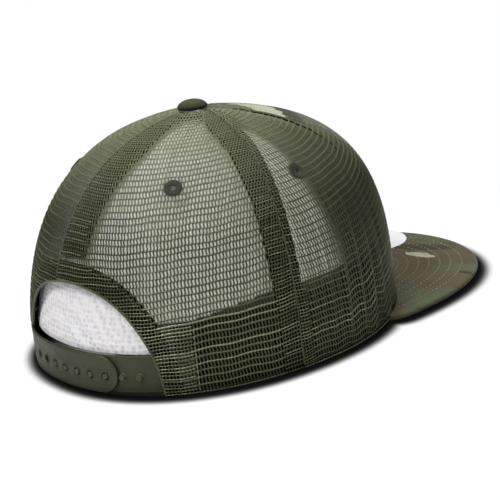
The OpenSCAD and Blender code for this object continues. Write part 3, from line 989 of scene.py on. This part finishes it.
def arch_point(sweep, wide, up):
    """ang and alt on the arch; sweep runs from 0 over 90 at the top to 180"""
    climb = np.where(sweep > 90, 180 - sweep, sweep)
    ang = 180 - (ARCH_HALF + wide) * np.clip(cosd(climb), 0, 1) ** 0.625
    z = (ARCH_H + up) * sind(climb) ** 1.143
    ang = np.where(sweep > 90, 360 - ang, ang)
    return ang, alt_at(ang, np.minimum(z, drape(ang, wide, up)))


def arch_parts():
    rise = np.concatenate([np.linspace(2.0, 88, 64), [89.3]])
    sweep = np.concatenate([rise, [90], 180 - rise[::-1]])
    k = np.linspace(0, 1, 9)
    ang, alt = arch_point(sweep[:, None], wide=0.25 + 5.25 * k, up=0.4 + 9.1 * k)
    obj = shell("arch_binding_tape", crown(ang, alt, 1.3), crown(ang, alt, 1.75), TAPE)
    on_crown(obj, "arch_binding")
    # the turned edge of the netting, and a line of lockstitch above it
    bag = Bag()
    sweep = np.concatenate([np.linspace(1.5, 89, 150), 180 - np.linspace(89, 1.5, 150)])
    ang, alt = arch_point(sweep, wide=0.1, up=0.2)
    bag.tube(crown(ang, alt, 0.55), normal(ang, alt), width=0.55, depth=0.62, sides=7)
    ang, alt = arch_point(sweep, wide=4.5, up=7.6)
    lockstitch(bag, ang, alt, depth=0.02, start=1.0, length=1.9)
    on_crown(bag.make("arch_edge_roll", [OLIVE_THREAD]))


def sweatband():
    angs = np.linspace(-137, 137, 260)
    # cross-section as (height share, depth share): up the outer face, over the
    # rolled top, down the inner face and under
    climb = np.linspace(0, 1, 26)
    section = [(z, 0.0) for z in climb]
    section += [(1 + 0.02 * sind(a), (1 - cosd(a)) / 2) for a in np.linspace(0, 180, 9)[1:-1]]
    section += [(z, 1.0) for z in climb[::-1]]
    section += [(-0.015 * sind(a), (1 + cosd(a)) / 2) for a in np.linspace(0, 180, 7)[1:-1]]
    rise, inward = np.array(section).T
    n, sides = len(angs), len(section)
    ang = np.repeat(angs[:, None], sides, 1)
    top = 33 + 5 * (1 + cosd(ang)) / 2
    z = 0.9 + (top - 0.9) * rise
    puff = 0.22 * np.sin(np.pi * np.clip(rise, 0, 1)) * (2 * inward - 1)
    crease = bell(z - (top - 3.2), 0.7) * 0.25 * (inward * 2 - 1)
    verts = crown(ang, alt_at(ang, z), 3.4 + 1.5 * inward + puff - crease)
    faces = grid(n, sides, loop_v=True).tolist()
    faces += [list(range(sides - 1, -1, -1)), list(range((n - 1) * sides, n * sides))]
    on_crown(mesh_object("sweatband_twill_band", verts.reshape(-1, 3), faces, [BAND]),
             "sweatband")


def hem_roll():
    """the bound lower edge"""
    bag = Bag()
    ang = np.linspace(-140.5, 140.5, 500)
    alt = np.full_like(ang, 0.5)
    path = crown(ang, alt, 1.0)
    path[:, 2] = 0.62
    bag.tube(path, normal(ang, alt), width=0.55, depth=0.9, sides=8)
    on_crown(bag.make("hem_roll", [TAPE]))


def inner_label():
    ang, z = np.meshgrid(np.linspace(80, 98, 20), np.linspace(5, 27, 16), indexing="ij")
    alt = alt_at(ang, z)
    obj = shell("inner_label_blank", crown(ang, alt, 5.25), crown(ang, alt, 5.45), LABEL)
    on_crown(obj, "inner_label")


arch_parts()
sweatband()
hem_roll()
inner_label()


# ---------------------------------------------------------------- outside seams
def seam_ridges():
    bag = Bag()
    for seam in (BACK_SEAM, -BACK_SEAM, 180):
        low = float(alt_at(180, ARCH_H + 1)) if seam == 180 else 0.3
        alt = np.linspace(low, 87.5, 260)
        ang = np.full_like(alt, seam)
        bag.tube(crown(ang, alt, 0.22), normal(ang, alt), width=0.30, depth=0.34, sides=6)
    for sign in (1, -1):
        alt = np.linspace(0.3, 87.5, 260)
        ang = front_seam(alt) * sign
        bag.tube(crown(ang, alt, 0.25), normal(ang, alt), width=0.28, depth=0.30, sides=6)
        # folded selvage beside it
        ang = ang + sign * RADIAN * 0.95 / row_r(ang, alt, 0.02)
        bag.tube(crown(ang, alt, 0.34), normal(ang, alt), width=1.0, depth=0.26, sides=6)
    on_crown(bag.make("seam_ridges", [OLIVE_THREAD]))


def topstitching():
    bag = Bag()
    # side of the front (0 is the centre seam) and distance from the seam
    for sign, offset in ((0, -2.0), (0, 2.0), (1, -2.2), (-1, 2.2)):
        alt = np.linspace(2.5, 85, 600)
        seam = front_seam(alt) * sign
        lockstitch(bag, seam + offset * RADIAN / row_r(seam, alt), alt,
                   depth=-0.06, start=0.5, length=2.0)
    on_crown(bag.make("front_topstitching", [STITCH]))


def strap_seams():
    """upright rows that hold the strap tails"""
    bag = Bag()
    levels = np.linspace(0.9, 31.5, 12)
    for ang in (SEWN, -SEWN):
        for low, high in zip(levels[:-1], levels[1:]):
            start = crown(ang, alt_at(ang, low + 0.25), -0.12)
            end = crown(ang, alt_at(ang, high - 0.25), -0.12)
            stitch(bag, start, end, normal(ang, alt_at(ang, low)),
                   width=0.3, depth=0.22, arch=0.12)
    on_crown(bag.make("strap_seam_stitches", [STRAP_THREAD]), "strap_stitching")


seam_ridges()
topstitching()
strap_seams()


# ---------------------------------------------------------------- eyelets and button
def eyelets():
    """rings of satin stitch over padding"""
    bag = Bag()
    inner, outer, count = 1.35, 4.35, 46
    mid, half = (inner + outer) / 2, (outer - inner) / 2
    for sign in (1, -1):
        for ang, alt in (SIDE_EYELET, BACK_EYELET):
            centre, out = crown(ang * sign, alt), normal(ang * sign, alt)
            level = unit(np.cross([0, 0, 1.0], out))
            upward = np.cross(out, level)
            sweep = np.linspace(-0.15, 1.15, 9)[:, None] * np.pi
            for k in range(count):
                turn = 2 * np.pi * k / count
                spoke = level * math.cos(turn) + upward * math.sin(turn)
                r = mid - half * np.cos(sweep) * (1 + 0.03 * math.sin(k * 2.4))
                path = centre + spoke * r + out * (0.46 * np.sin(sweep) + 0.05)
                bag.tube(path, out * np.sin(sweep) - spoke * np.cos(sweep),
                         width=np.linspace(0.17, 0.32, 9), depth=0.2)
            turn = np.linspace(0, 2 * np.pi, 40, endpoint=False)[:, None, None]
            sweep = np.linspace(0, 2 * np.pi, 10, endpoint=False)[None, :, None]
            ring = (level * np.cos(turn) + upward * np.sin(turn)) * (mid + half * 0.86 * np.cos(sweep))
            bag.add(centre + ring + out * 0.42 * np.sin(sweep),
                    grid(40, 10, loop_u=True, loop_v=True))
    on_crown(bag.make("eyelets_embroidered", [EYELET_THREAD]), "eyelets")


# radius and height, from the top over the rolled rim and back up inside
BUTTON_PROFILE = [
    (0.25, 4.78), (1.6, 4.70), (3.0, 4.48), (4.3, 4.08), (5.5, 3.48), (6.4, 2.80), (7.1, 2.05),
    (7.55, 1.35), (7.75, 0.75), (7.66, 0.1), (7.45, -0.6), (7.1, -0.9), (6.5, -0.9), (6.0, -0.2),
    (6.3, 1.2), (6.2, 1.9), (5.2, 2.9), (3.5, 3.7), (1.6, 4.15), (0.25, 4.25)]


def button():
    count, rings = 96, 60
    radii, levels = np.array(BUTTON_PROFILE).T
    share = np.linspace(0, 1, rings)
    stations = np.linspace(0, 1, len(radii))
    turn = np.linspace(0, 2 * np.pi, count, endpoint=False)[:, None]
    pucker = (0.07 * np.cos(turn * 18 + 1) * bell(share - 0.42, 0.1)
              + 0.05 * np.cos(turn * 3) * bell(share - 0.3, 0.2))
    r = np.interp(share, stations, radii) + pucker
    z = np.interp(share, stations, levels) * 0.84 + CROWN_H + 1.85
    verts = np.stack([r * np.cos(turn), r * np.sin(turn) - 0.2, np.broadcast_to(z, r.shape)], -1)
    faces = grid(count, rings, flip=True, loop_u=True).tolist()
    faces.append([k * rings for k in range(count)])
    faces.append([k * rings + rings - 1 for k in range(count - 1, -1, -1)])
    on_crown(mesh_object("button_cloth_cover", verts.reshape(-1, 3), faces, [BUTTON]),
             "button_cover")


eyelets()
button()

# ---------------------------------------------------------------- straps
# Places along a strap are millimetres from the back centre, positive to the wearer's right.
MM_PER_DEG = 1.727
STRAP_Z, STRAP_H, STRAP_T = 0.8, 19.0, 1.3
STRAP_MID = STRAP_Z + STRAP_H / 2
PEG_Z, PITCH, FIRST_HOLE = 9.5, 9.1, 37.5
HOLE_R = 1.9
TAIL = (180 - SEWN) * MM_PER_DEG
HOLES = [FIRST_HOLE - i * PITCH for i in range(7)]
PEGS = [FIRST_HOLE + (2 - i) * PITCH for i in range(7)]


def hole_strap_depth(ang):
    return 1.9 * (1 - smooth((ang - 146) / 24))


def peg_strap_depth(ang):
    return STRAP_T + 0.3 + 0.3 * smooth((ang - 196) / 19)


def corners(faces):
    """grid corners touched by a mask of faces"""
    touched = np.zeros((faces.shape[0] + 1, faces.shape[1] + 1), bool)
    for rows in (slice(None, -1), slice(1, None)):
        for cols in (slice(None, -1), slice(1, None)):
            touched[rows, cols] |= faces
    return touched


def add_peg(bag, place, depth_of):
    ang = 180 + place / MM_PER_DEG
    depth = float(depth_of(ang))
    out = np.append(hem_normal(ang), 0)
    level, upward = np.array([-out[1], out[0], 0]), np.array([0, 0, 1.0])
    root = np.append(hem_in(ang, depth), PEG_Z)
    length = depth + 0.2
    # radius and distance out from the strap
    profile = [(2.1, -0.05), (1.75, 0.05), (1.5, 0.25), (1.42, 0.5), (1.38, length - 0.7),
               (1.48, length - 0.45), (1.42, length - 0.15), (1.2, length), (0.75, length),
               (0.6, length - 0.12), (0.3, length - 0.15)]
    radii, reach = np.array(profile).T[:, None, :, None]
    count, rings = 28, len(profile)
    turn = np.linspace(0, 2 * np.pi, count, endpoint=False)[:, None, None]
    points = root + (level * np.cos(turn) + upward * np.sin(turn)) * radii + out * reach
    ends = [[k * rings + rings - 1 for k in range(count)],
            [k * rings for k in range(count - 1, -1, -1)]]
    # slot 1 is the lighter peg plastic, a painted highlight
    bag.add(points, grid(count, rings, loop_u=True), ends, slot=1)


def strap(name, sewn, tip, depth_of, holes, pegs):
    """moulded strap from its sewn end to its rounded tip"""
    way = 1 if tip > sewn else -1
    half = STRAP_H / 2
    bend = tip - way * half                      # where the rounded end begins
    fine = 1 - np.sin(np.linspace(0, np.pi / 2, 14)[:-1])
    cols = np.concatenate([np.arange(sewn, tip - way * 2.4, way * 0.3), tip - way * 2.4 * fine])
    tall = np.where((cols - bend) * way > 0,
                    np.sqrt(np.clip(half * half - (cols - bend) ** 2, 0.05, None)), half)
    rows = np.linspace(-1, 1, 64)
    rows = np.sign(rows) * (1 - (1 - np.abs(rows)) ** 1.06)
    x, row = np.meshgrid(cols, rows, indexing="ij")
    z = STRAP_MID + row * tall[:, None]
    past = (x - bend) * way
    edge = np.where(past > 0, half - np.sqrt(past ** 2 + (z - STRAP_MID) ** 2),
                    half - np.abs(z - STRAP_MID))
    edge = np.minimum(np.maximum(edge, 0), np.abs(x - sewn))
    # open each hole, with its rim corners drawn onto the circle
    nu, nv = x.shape
    kept = np.ones((nu - 1, nv - 1), bool)
    for hole in holes:
        r = np.hypot(x - hole, z - PEG_Z)
        inside = r < HOLE_R
        cut = inside[:-1, :-1] & inside[1:, :-1] & inside[1:, 1:] & inside[:-1, 1:]
        kept &= ~cut
        rim = corners(cut) & corners(~cut)
        scale = np.where(rim, HOLE_R / np.maximum(r, 0.3), 1)
        x = np.where(rim, hole + (x - hole) * scale, x)
        z = np.where(rim, PEG_Z + (z - PEG_Z) * scale, z)
    round_r = 0.42
    drop = round_r - np.sqrt(np.clip(round_r ** 2 - (round_r - edge) ** 2, 0, None))
    bevel = -np.where(edge < round_r, drop, 0)
    if holes:
        # sunk channel round the holes, and a raised rim to each
        low, high = min(holes) - 6, max(holes)
        beyond = np.where(x > high, x - high, np.where(x < low, low - x, 0))
        dist = np.hypot(beyond, z - PEG_Z)
        relief = bevel - 0.24 * (1 - smooth((dist - 3.0) / 0.55)) + 0.10 * bell(dist - 3.75, 0.3)
        for hole in holes:
            r = np.hypot(x - hole, z - PEG_Z)
            relief += 0.36 * bell(r - 2.4, 0.34) - 0.12 * (r < 2.0)
    else:
        relief = bevel + 0.10 * bell(edge - 0.9, 0.25)     # raised lip along the edge
    ang = 180 + x / MM_PER_DEG
    depth = depth_of(ang)
    outer = np.concatenate([hem_in(ang, depth - relief), z[..., None]], -1)
    inner = np.concatenate([hem_in(ang, depth + STRAP_T + bevel), z[..., None]], -1)
    n = nu * nv
    quads = grid(nu, nv)[kept.ravel()]
    face, back = (quads[:, ::-1], quads + n) if way > 0 else (quads, (quads + n)[:, ::-1])
    # walls along every open edge of the outer sheet
    edges = [(int(a), int(b)) for quad in face for a, b in zip(quad, np.roll(quad, -1))]
    known = set(edges)
    walls = np.array([[b, a, a + n, b + n] for a, b in edges if (b, a) not in known])
    faces = np.concatenate([face, back, walls])
    verts = np.concatenate([outer.reshape(-1, 3), inner.reshape(-1, 3)])
    used = np.zeros(len(verts), bool)
    used[faces.ravel()] = True
    bag = Bag()
    bag.add(verts[used], (np.cumsum(used) - 1)[faces])
    for peg in pegs:
        add_peg(bag, peg, depth_of)
    return bag.make(name, [PLASTIC, PEG_PLASTIC_HIGHLIT])


hole_strap = strap("strap_with_holes", -TAIL, FIRST_HOLE + 7.0, hole_strap_depth, HOLES, [])
peg_strap = strap("strap_with_pegs", TAIL, PEGS[-1] - 7.5, peg_strap_depth, [], PEGS)
for obj, node, sign in ((hole_strap, "hole_strap", 1), (peg_strap, "peg_strap", -1)):
    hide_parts(node, node + "_tail")
    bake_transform(obj)

# ---------------------------------------------------------------- pieces kept from the CAD
for node, mat in (("visor_board", BOARD), ("button_shell", METAL), ("button_rivet", METAL)):
    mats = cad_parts[node].data.materials
    mats.clear()
    mats.append(mat)


# ---------------------------------------------------------------- stage
def paper_material():
    shader = Shader("shaping_paper", rough=0.9, spec=0.2)
    cells = shader.node("ShaderNodeTexVoronoi")
    shader.feed(cells.inputs["Vector"], shader.coords)
    cells.inputs["Scale"].default_value = 400
    cells.inputs["Randomness"].default_value = 0.42
    dist = cells.outputs["Distance"]
    grain = shader.calc("MULTIPLY", shader.noise(scale=900, detail=3, rough=0.7), 0.5)
    color = shader.mix(shader.ramp(dist, low=0.05, high=0.62),
                       rgb(204, 202, 208), rgb(238, 236, 237))
    # the shade attribute paints shade, darkening the paper toward near black
    shader.color(shader.mix(shader.attr("shade"), (0.02, 0.022, 0.014, 1), color))
    shader.bump(shader.calc("ADD", dist, grain), strength=0.8, depth=0.9)
    # the glow attribute paints light on the paper as emission
    shader.feed(shader.inputs["Emission Color"],
                shader.mix(shader.attr("glow"), (0, 0, 0, 1), rgb(236, 240, 208)))
    shader.inputs["Emission Strength"].default_value = 0.18
    return shader.mat


EYE = np.array([-541.9, 358.1, 236.5])     # camera place used for the eyelet shadows


def paper_tones(ang, z, points):
    """painted shade (1 is white) and painted glow of the paper's outer face"""
    off = np.abs(180 - ang)
    edge = np.where((ang > 153) & (ang < 172), arch_z(ang, 5.0, 6.5), arch_z(ang) + 1.5)
    bare = (z < edge) & (off < 40)         # seen through the rear opening
    glow = np.where(bare, 0.0, 1.0) * (1 + 0.35 * smooth((z - 70) / 25))
    glow *= smooth((292 - ang) / 16) * (0.15 + 0.85 * smooth((ang - 177) / 12))
    glow *= (0.75 + 0.25 * smooth((ang - 186) / 40)) * (z < 116.6)
    glow *= 1 + 1.8 * smooth((ang - 262) / 5)
    shade = np.where(bare, 1.0, 1 - 0.72 * smooth((183 - ang) / 4))
    shade *= 1 - 0.97 * smooth((ang - 283.5 + 0.05 * (z - 40)) / 9) * ~bare
    shade = np.where(ang < 66, 0.10, shade)
    low = np.where(ang > 185, 34.6 + 5.4 * smooth((ang - 226) / 26), 40.0)
    shade = np.where(~bare & ((z < low) | (z > 116.6)), 0.04, shade)
    shade = np.where(~bare, shade * (1 - 0.6 * smooth((174 - ang) / 10)), shade)
    # painted shade behind the eyelets, on the line from the camera place: angle, alt, tone kept
    for turn, alt, keep in ((360 - BACK_EYELET[0], BACK_EYELET[1], 0.27),
                            (360 - SIDE_EYELET[0], SIDE_EYELET[1], 0.12),
                            (*BACK_EYELET, 0.2)):
        eyelet = plain(turn, alt)
        ray = unit(eyelet - EYE)
        hit = eyelet + ray * PAPER_DEPTH / max(-(ray * normal(turn, alt)).sum(), 0.4)
        near = np.exp(-(np.linalg.norm(points - hit, axis=-1) / 5.2) ** 6)
        shade = shade * (1 - (1 - keep) * near)
        glow = glow * (1 - (1 - keep) * near)
    # painted shade in crumpled patches over the wearer's right side
    fold = 0.5 + 0.5 * np.sin(ang * 0.33 + 0.05 * z) * np.sin(z * 0.11 + ang * 0.05)
    shade = shade * (1 - 0.4 * fold * smooth((ang - 264) / 10))
    return shade, glow * np.where(bare, 1.0, shade)


def paper():
    """white paper that fills the crown behind the netting"""
    mat = paper_material()
    angs = np.concatenate([np.linspace(22, 138, 94), np.linspace(139, 221, 90),
                           np.linspace(222, 338, 94)])
    levels = np.concatenate([
        [0.4, 6, 12, 18, 19.3, 19.4, 19.8, 20.4, 21.2], np.linspace(22.4, 96, 60),
        [100, 104, 107, 109.5, 111, 112.5, 114, 115, 115.6, 116.2, 116.8]])
    ang, z = np.meshgrid(angs, levels, indexing="ij")
    off = np.abs(180 - ang)
    z = z - 0.85 * np.maximum(z - 102, 0) * smooth((off - 126) / 12)
    # closer to the cloth behind the arch, and far inside below it
    depth = PAPER_DEPTH - (2.6 - 0.9 * smooth((z - 21) / 18)) * (1 - smooth((off - 37) / 3.5))
    depth += 33 * np.where(z < 19.35, 1.0, 0.0) * (1 - smooth((off - 39) / 3))
    depth += 0.35 * (1 + np.sin(ang * 0.35) * np.sin(z * 0.21)) * smooth((z - 20) / 8)
    depth -= 3.4 * smooth((174 - ang) / 8) * smooth((z - 52) / 8) * smooth((ang - 60) / 10)
    alt = alt_at(ang, z)
    out = normal(ang, alt)
    outer = plain(ang, alt) - depth[..., None] * out
    outer[..., 2] = np.where(z <= 24, z, outer[..., 2])
    obj = shell("shaping_paper", outer, outer - 0.6 * out, mat)
    shade, glow = paper_tones(ang, z, outer)
    # the inner face takes dark painted shade and no painted glow
    point_attr(obj, "shade", [shade, np.full_like(shade, 0.06)])
    point_attr(obj, "glow", [glow, np.zeros_like(glow)])


def ground_shadow():
    """soft contact shadow under the hem and bill, moved a little to -X"""
    count = 360
    loop = np.concatenate([hem(np.linspace(53.5, 306.5, 200)), bill_edge()])
    loop = np.concatenate([loop, loop[:1]])
    dist = arc(loop)
    loop = sample(np.linspace(0, dist[-1], count + 1)[:-1], dist, loop)
    along = np.roll(loop, -4, 0) - np.roll(loop, 4, 0)
    out = unit(np.stack([along[:, 1], -along[:, 0]], -1))
    for _ in range(6):
        out = (np.roll(out, 1, 0) + out + np.roll(out, -1, 0)) / 3
    # distance out from the outline, and opacity there
    reach = np.array([-34.0, -20, -9, -3, 0.0, 1.5, 3.2, 5.4, 8.4])
    alpha = np.array([0.0, 0.5, 0.9, 0.99, 0.975, 0.88, 0.58, 0.2, 0.0])
    plan = loop[:, None] + out[:, None] * reach[:, None] + np.array([-2.8, 0.6])
    verts = np.concatenate([plan, np.full(plan.shape[:2] + (1,), -0.35)], -1)
    shader = Shader("floor_shadow", rough=1.0, spec=0.0)
    shader.color(shader.mottle((0.004, 0.004, 0.004, 1), BLACK, scale=8, detail=2))
    shader.feed(shader.inputs["Alpha"], shader.attr("alpha"))
    obj = mesh_object("floor_shadow", verts.reshape(-1, 3),
                      grid(count, len(reach), loop_u=True), [shader.mat])
    point_attr(obj, "alpha", np.tile(alpha, count))


def floor_material():
    """plain white, glowing to the camera and fading to pure white far out"""
    shader = Shader("floor_paper", rough=0.9, spec=0.1)
    shader.color(shader.mottle((0.9, 0.9, 0.9, 1), (0.93, 0.93, 0.93, 1), scale=6, detail=2))
    radius = shader.node("ShaderNodeVectorMath", operation="LENGTH")
    shader.feed(radius.inputs[0], shader.coords)
    far = shader.ramp(radius.outputs["Value"], low=0.13, high=0.30)
    seen = shader.node("ShaderNodeLightPath").outputs["Is Camera Ray"]
    white = shader.node("ShaderNodeEmission")
    white.inputs[1].default_value = 1.0
    lift = shader.node("ShaderNodeEmission")
    shader.feed(lift.inputs[1], shader.calc("MULTIPLY", seen, 0.22))
    lifted = shader.node("ShaderNodeAddShader")
    shader.feed(lifted.inputs[0], shader.tree.nodes["Principled BSDF"].outputs[0])
    shader.feed(lifted.inputs[1], lift.outputs[0])
    blend = shader.node("ShaderNodeMixShader")
    shader.feed(blend.inputs[0], shader.calc("MULTIPLY", seen, far))
    shader.feed(blend.inputs[1], lifted.outputs[0])
    shader.feed(blend.inputs[2], white.outputs[0])
    shader.feed(shader.tree.nodes["Material Output"].inputs["Surface"], blend.outputs[0])
    return shader.mat


def build_floor():
    bpy.ops.mesh.primitive_plane_add(size=30, location=(0, 0, -0.0006))
    floor = bpy.context.object
    floor.name = "floor"
    floor.data.materials.append(floor_material())


paper()
ground_shadow()
build_floor()

# ---------------------------------------------------------------- camera, lights, world (metres)
AZIMUTH, ELEVATION, ROLL = (math.radians(a) for a in (123.456, 15.204, 7.037))
CAMERA_DIST = 0.673107
CAMERA_TARGET = Vector((0, 0, 0.06))
AIM_RIGHT, AIM_DOWN = 0.034739209, 0.027092022    # tangents of the aim off the target
LENS, SENSOR = 92.514024, 36                      # mm

# from the target to the camera, behind the wearer's right
to_camera = Vector((-math.sin(AZIMUTH) * math.cos(ELEVATION),
                    -math.cos(AZIMUTH) * math.cos(ELEVATION), math.sin(ELEVATION)))
view_right = (-to_camera).cross(Vector((0, 0, 1))).normalized()


def build_camera():
    view_up = view_right.cross(-to_camera)
    right = view_right * math.cos(ROLL) - view_up * math.sin(ROLL)
    upward = view_right * math.sin(ROLL) + view_up * math.cos(ROLL)
    back = -(-to_camera + right * AIM_RIGHT - upward * AIM_DOWN).normalized()
    right = (right - back * right.dot(back)).normalized()
    upward = back.cross(right)
    place = to_camera * CAMERA_DIST + CAMERA_TARGET
    data = bpy.data.cameras.new("camera")
    camera = bpy.data.objects.new("camera", data)
    bpy.context.scene.collection.objects.link(camera)
    camera.matrix_world = Matrix(((*right, 0), (*upward, 0), (*back, 0), (*place, 1))).transposed()
    data.sensor_width = SENSOR
    data.lens = LENS
    data.clip_start = 0.01
    data.clip_end = 100
    bpy.context.scene.camera = camera


LIGHT_TARGET = Vector((0, -0.02, 0.06))
LIGHT_SCALE = 0.46        # dims all three lights together


def disk_light(name, offset, size, power):
    light = bpy.data.lights.new(name, "AREA")
    light.shape = "DISK"
    light.size = size
    light.energy = power * LIGHT_SCALE
    obj = bpy.data.objects.new(name, light)
    bpy.context.scene.collection.objects.link(obj)
    place = LIGHT_TARGET + offset
    obj.location = place
    obj.rotation_mode = "QUATERNION"
    obj.rotation_quaternion = (LIGHT_TARGET - place).to_track_quat("-Z", "Y")


def build_world():
    """dim white light, seen by the camera as full white"""
    world = bpy.data.worlds.new("world")
    bpy.context.scene.world = world
    world.use_nodes = True
    nodes, links = world.node_tree.nodes, world.node_tree.links
    mix = nodes.new("ShaderNodeMixShader")
    path = nodes.new("ShaderNodeLightPath")
    links.new(path.outputs["Is Camera Ray"], mix.inputs[0])
    backgrounds = nodes["Background"], nodes.new("ShaderNodeBackground")
    for socket, (node, strength) in enumerate(zip(backgrounds, (0.20, 1.0)), 1):
        node.inputs[0].default_value = (1, 1, 1, 1)
        node.inputs[1].default_value = strength
        links.new(node.outputs[0], mix.inputs[socket])
    links.new(mix.outputs[0], nodes["World Output"].inputs["Surface"])


build_camera()
disk_light("key", to_camera * 0.55 - view_right * 0.55 + Vector((0, 0, 0.85)), size=0.5, power=20)
disk_light("fill", to_camera * 0.9 + view_right * 0.7 + Vector((0, 0, 0.35)), size=0.9, power=6)
disk_light("top", Vector((0, 0, 1.1)), size=0.6, power=12)
build_world()
view = bpy.context.scene.view_settings
view.view_transform = "Standard"
view.look = "None"
view.exposure = 0
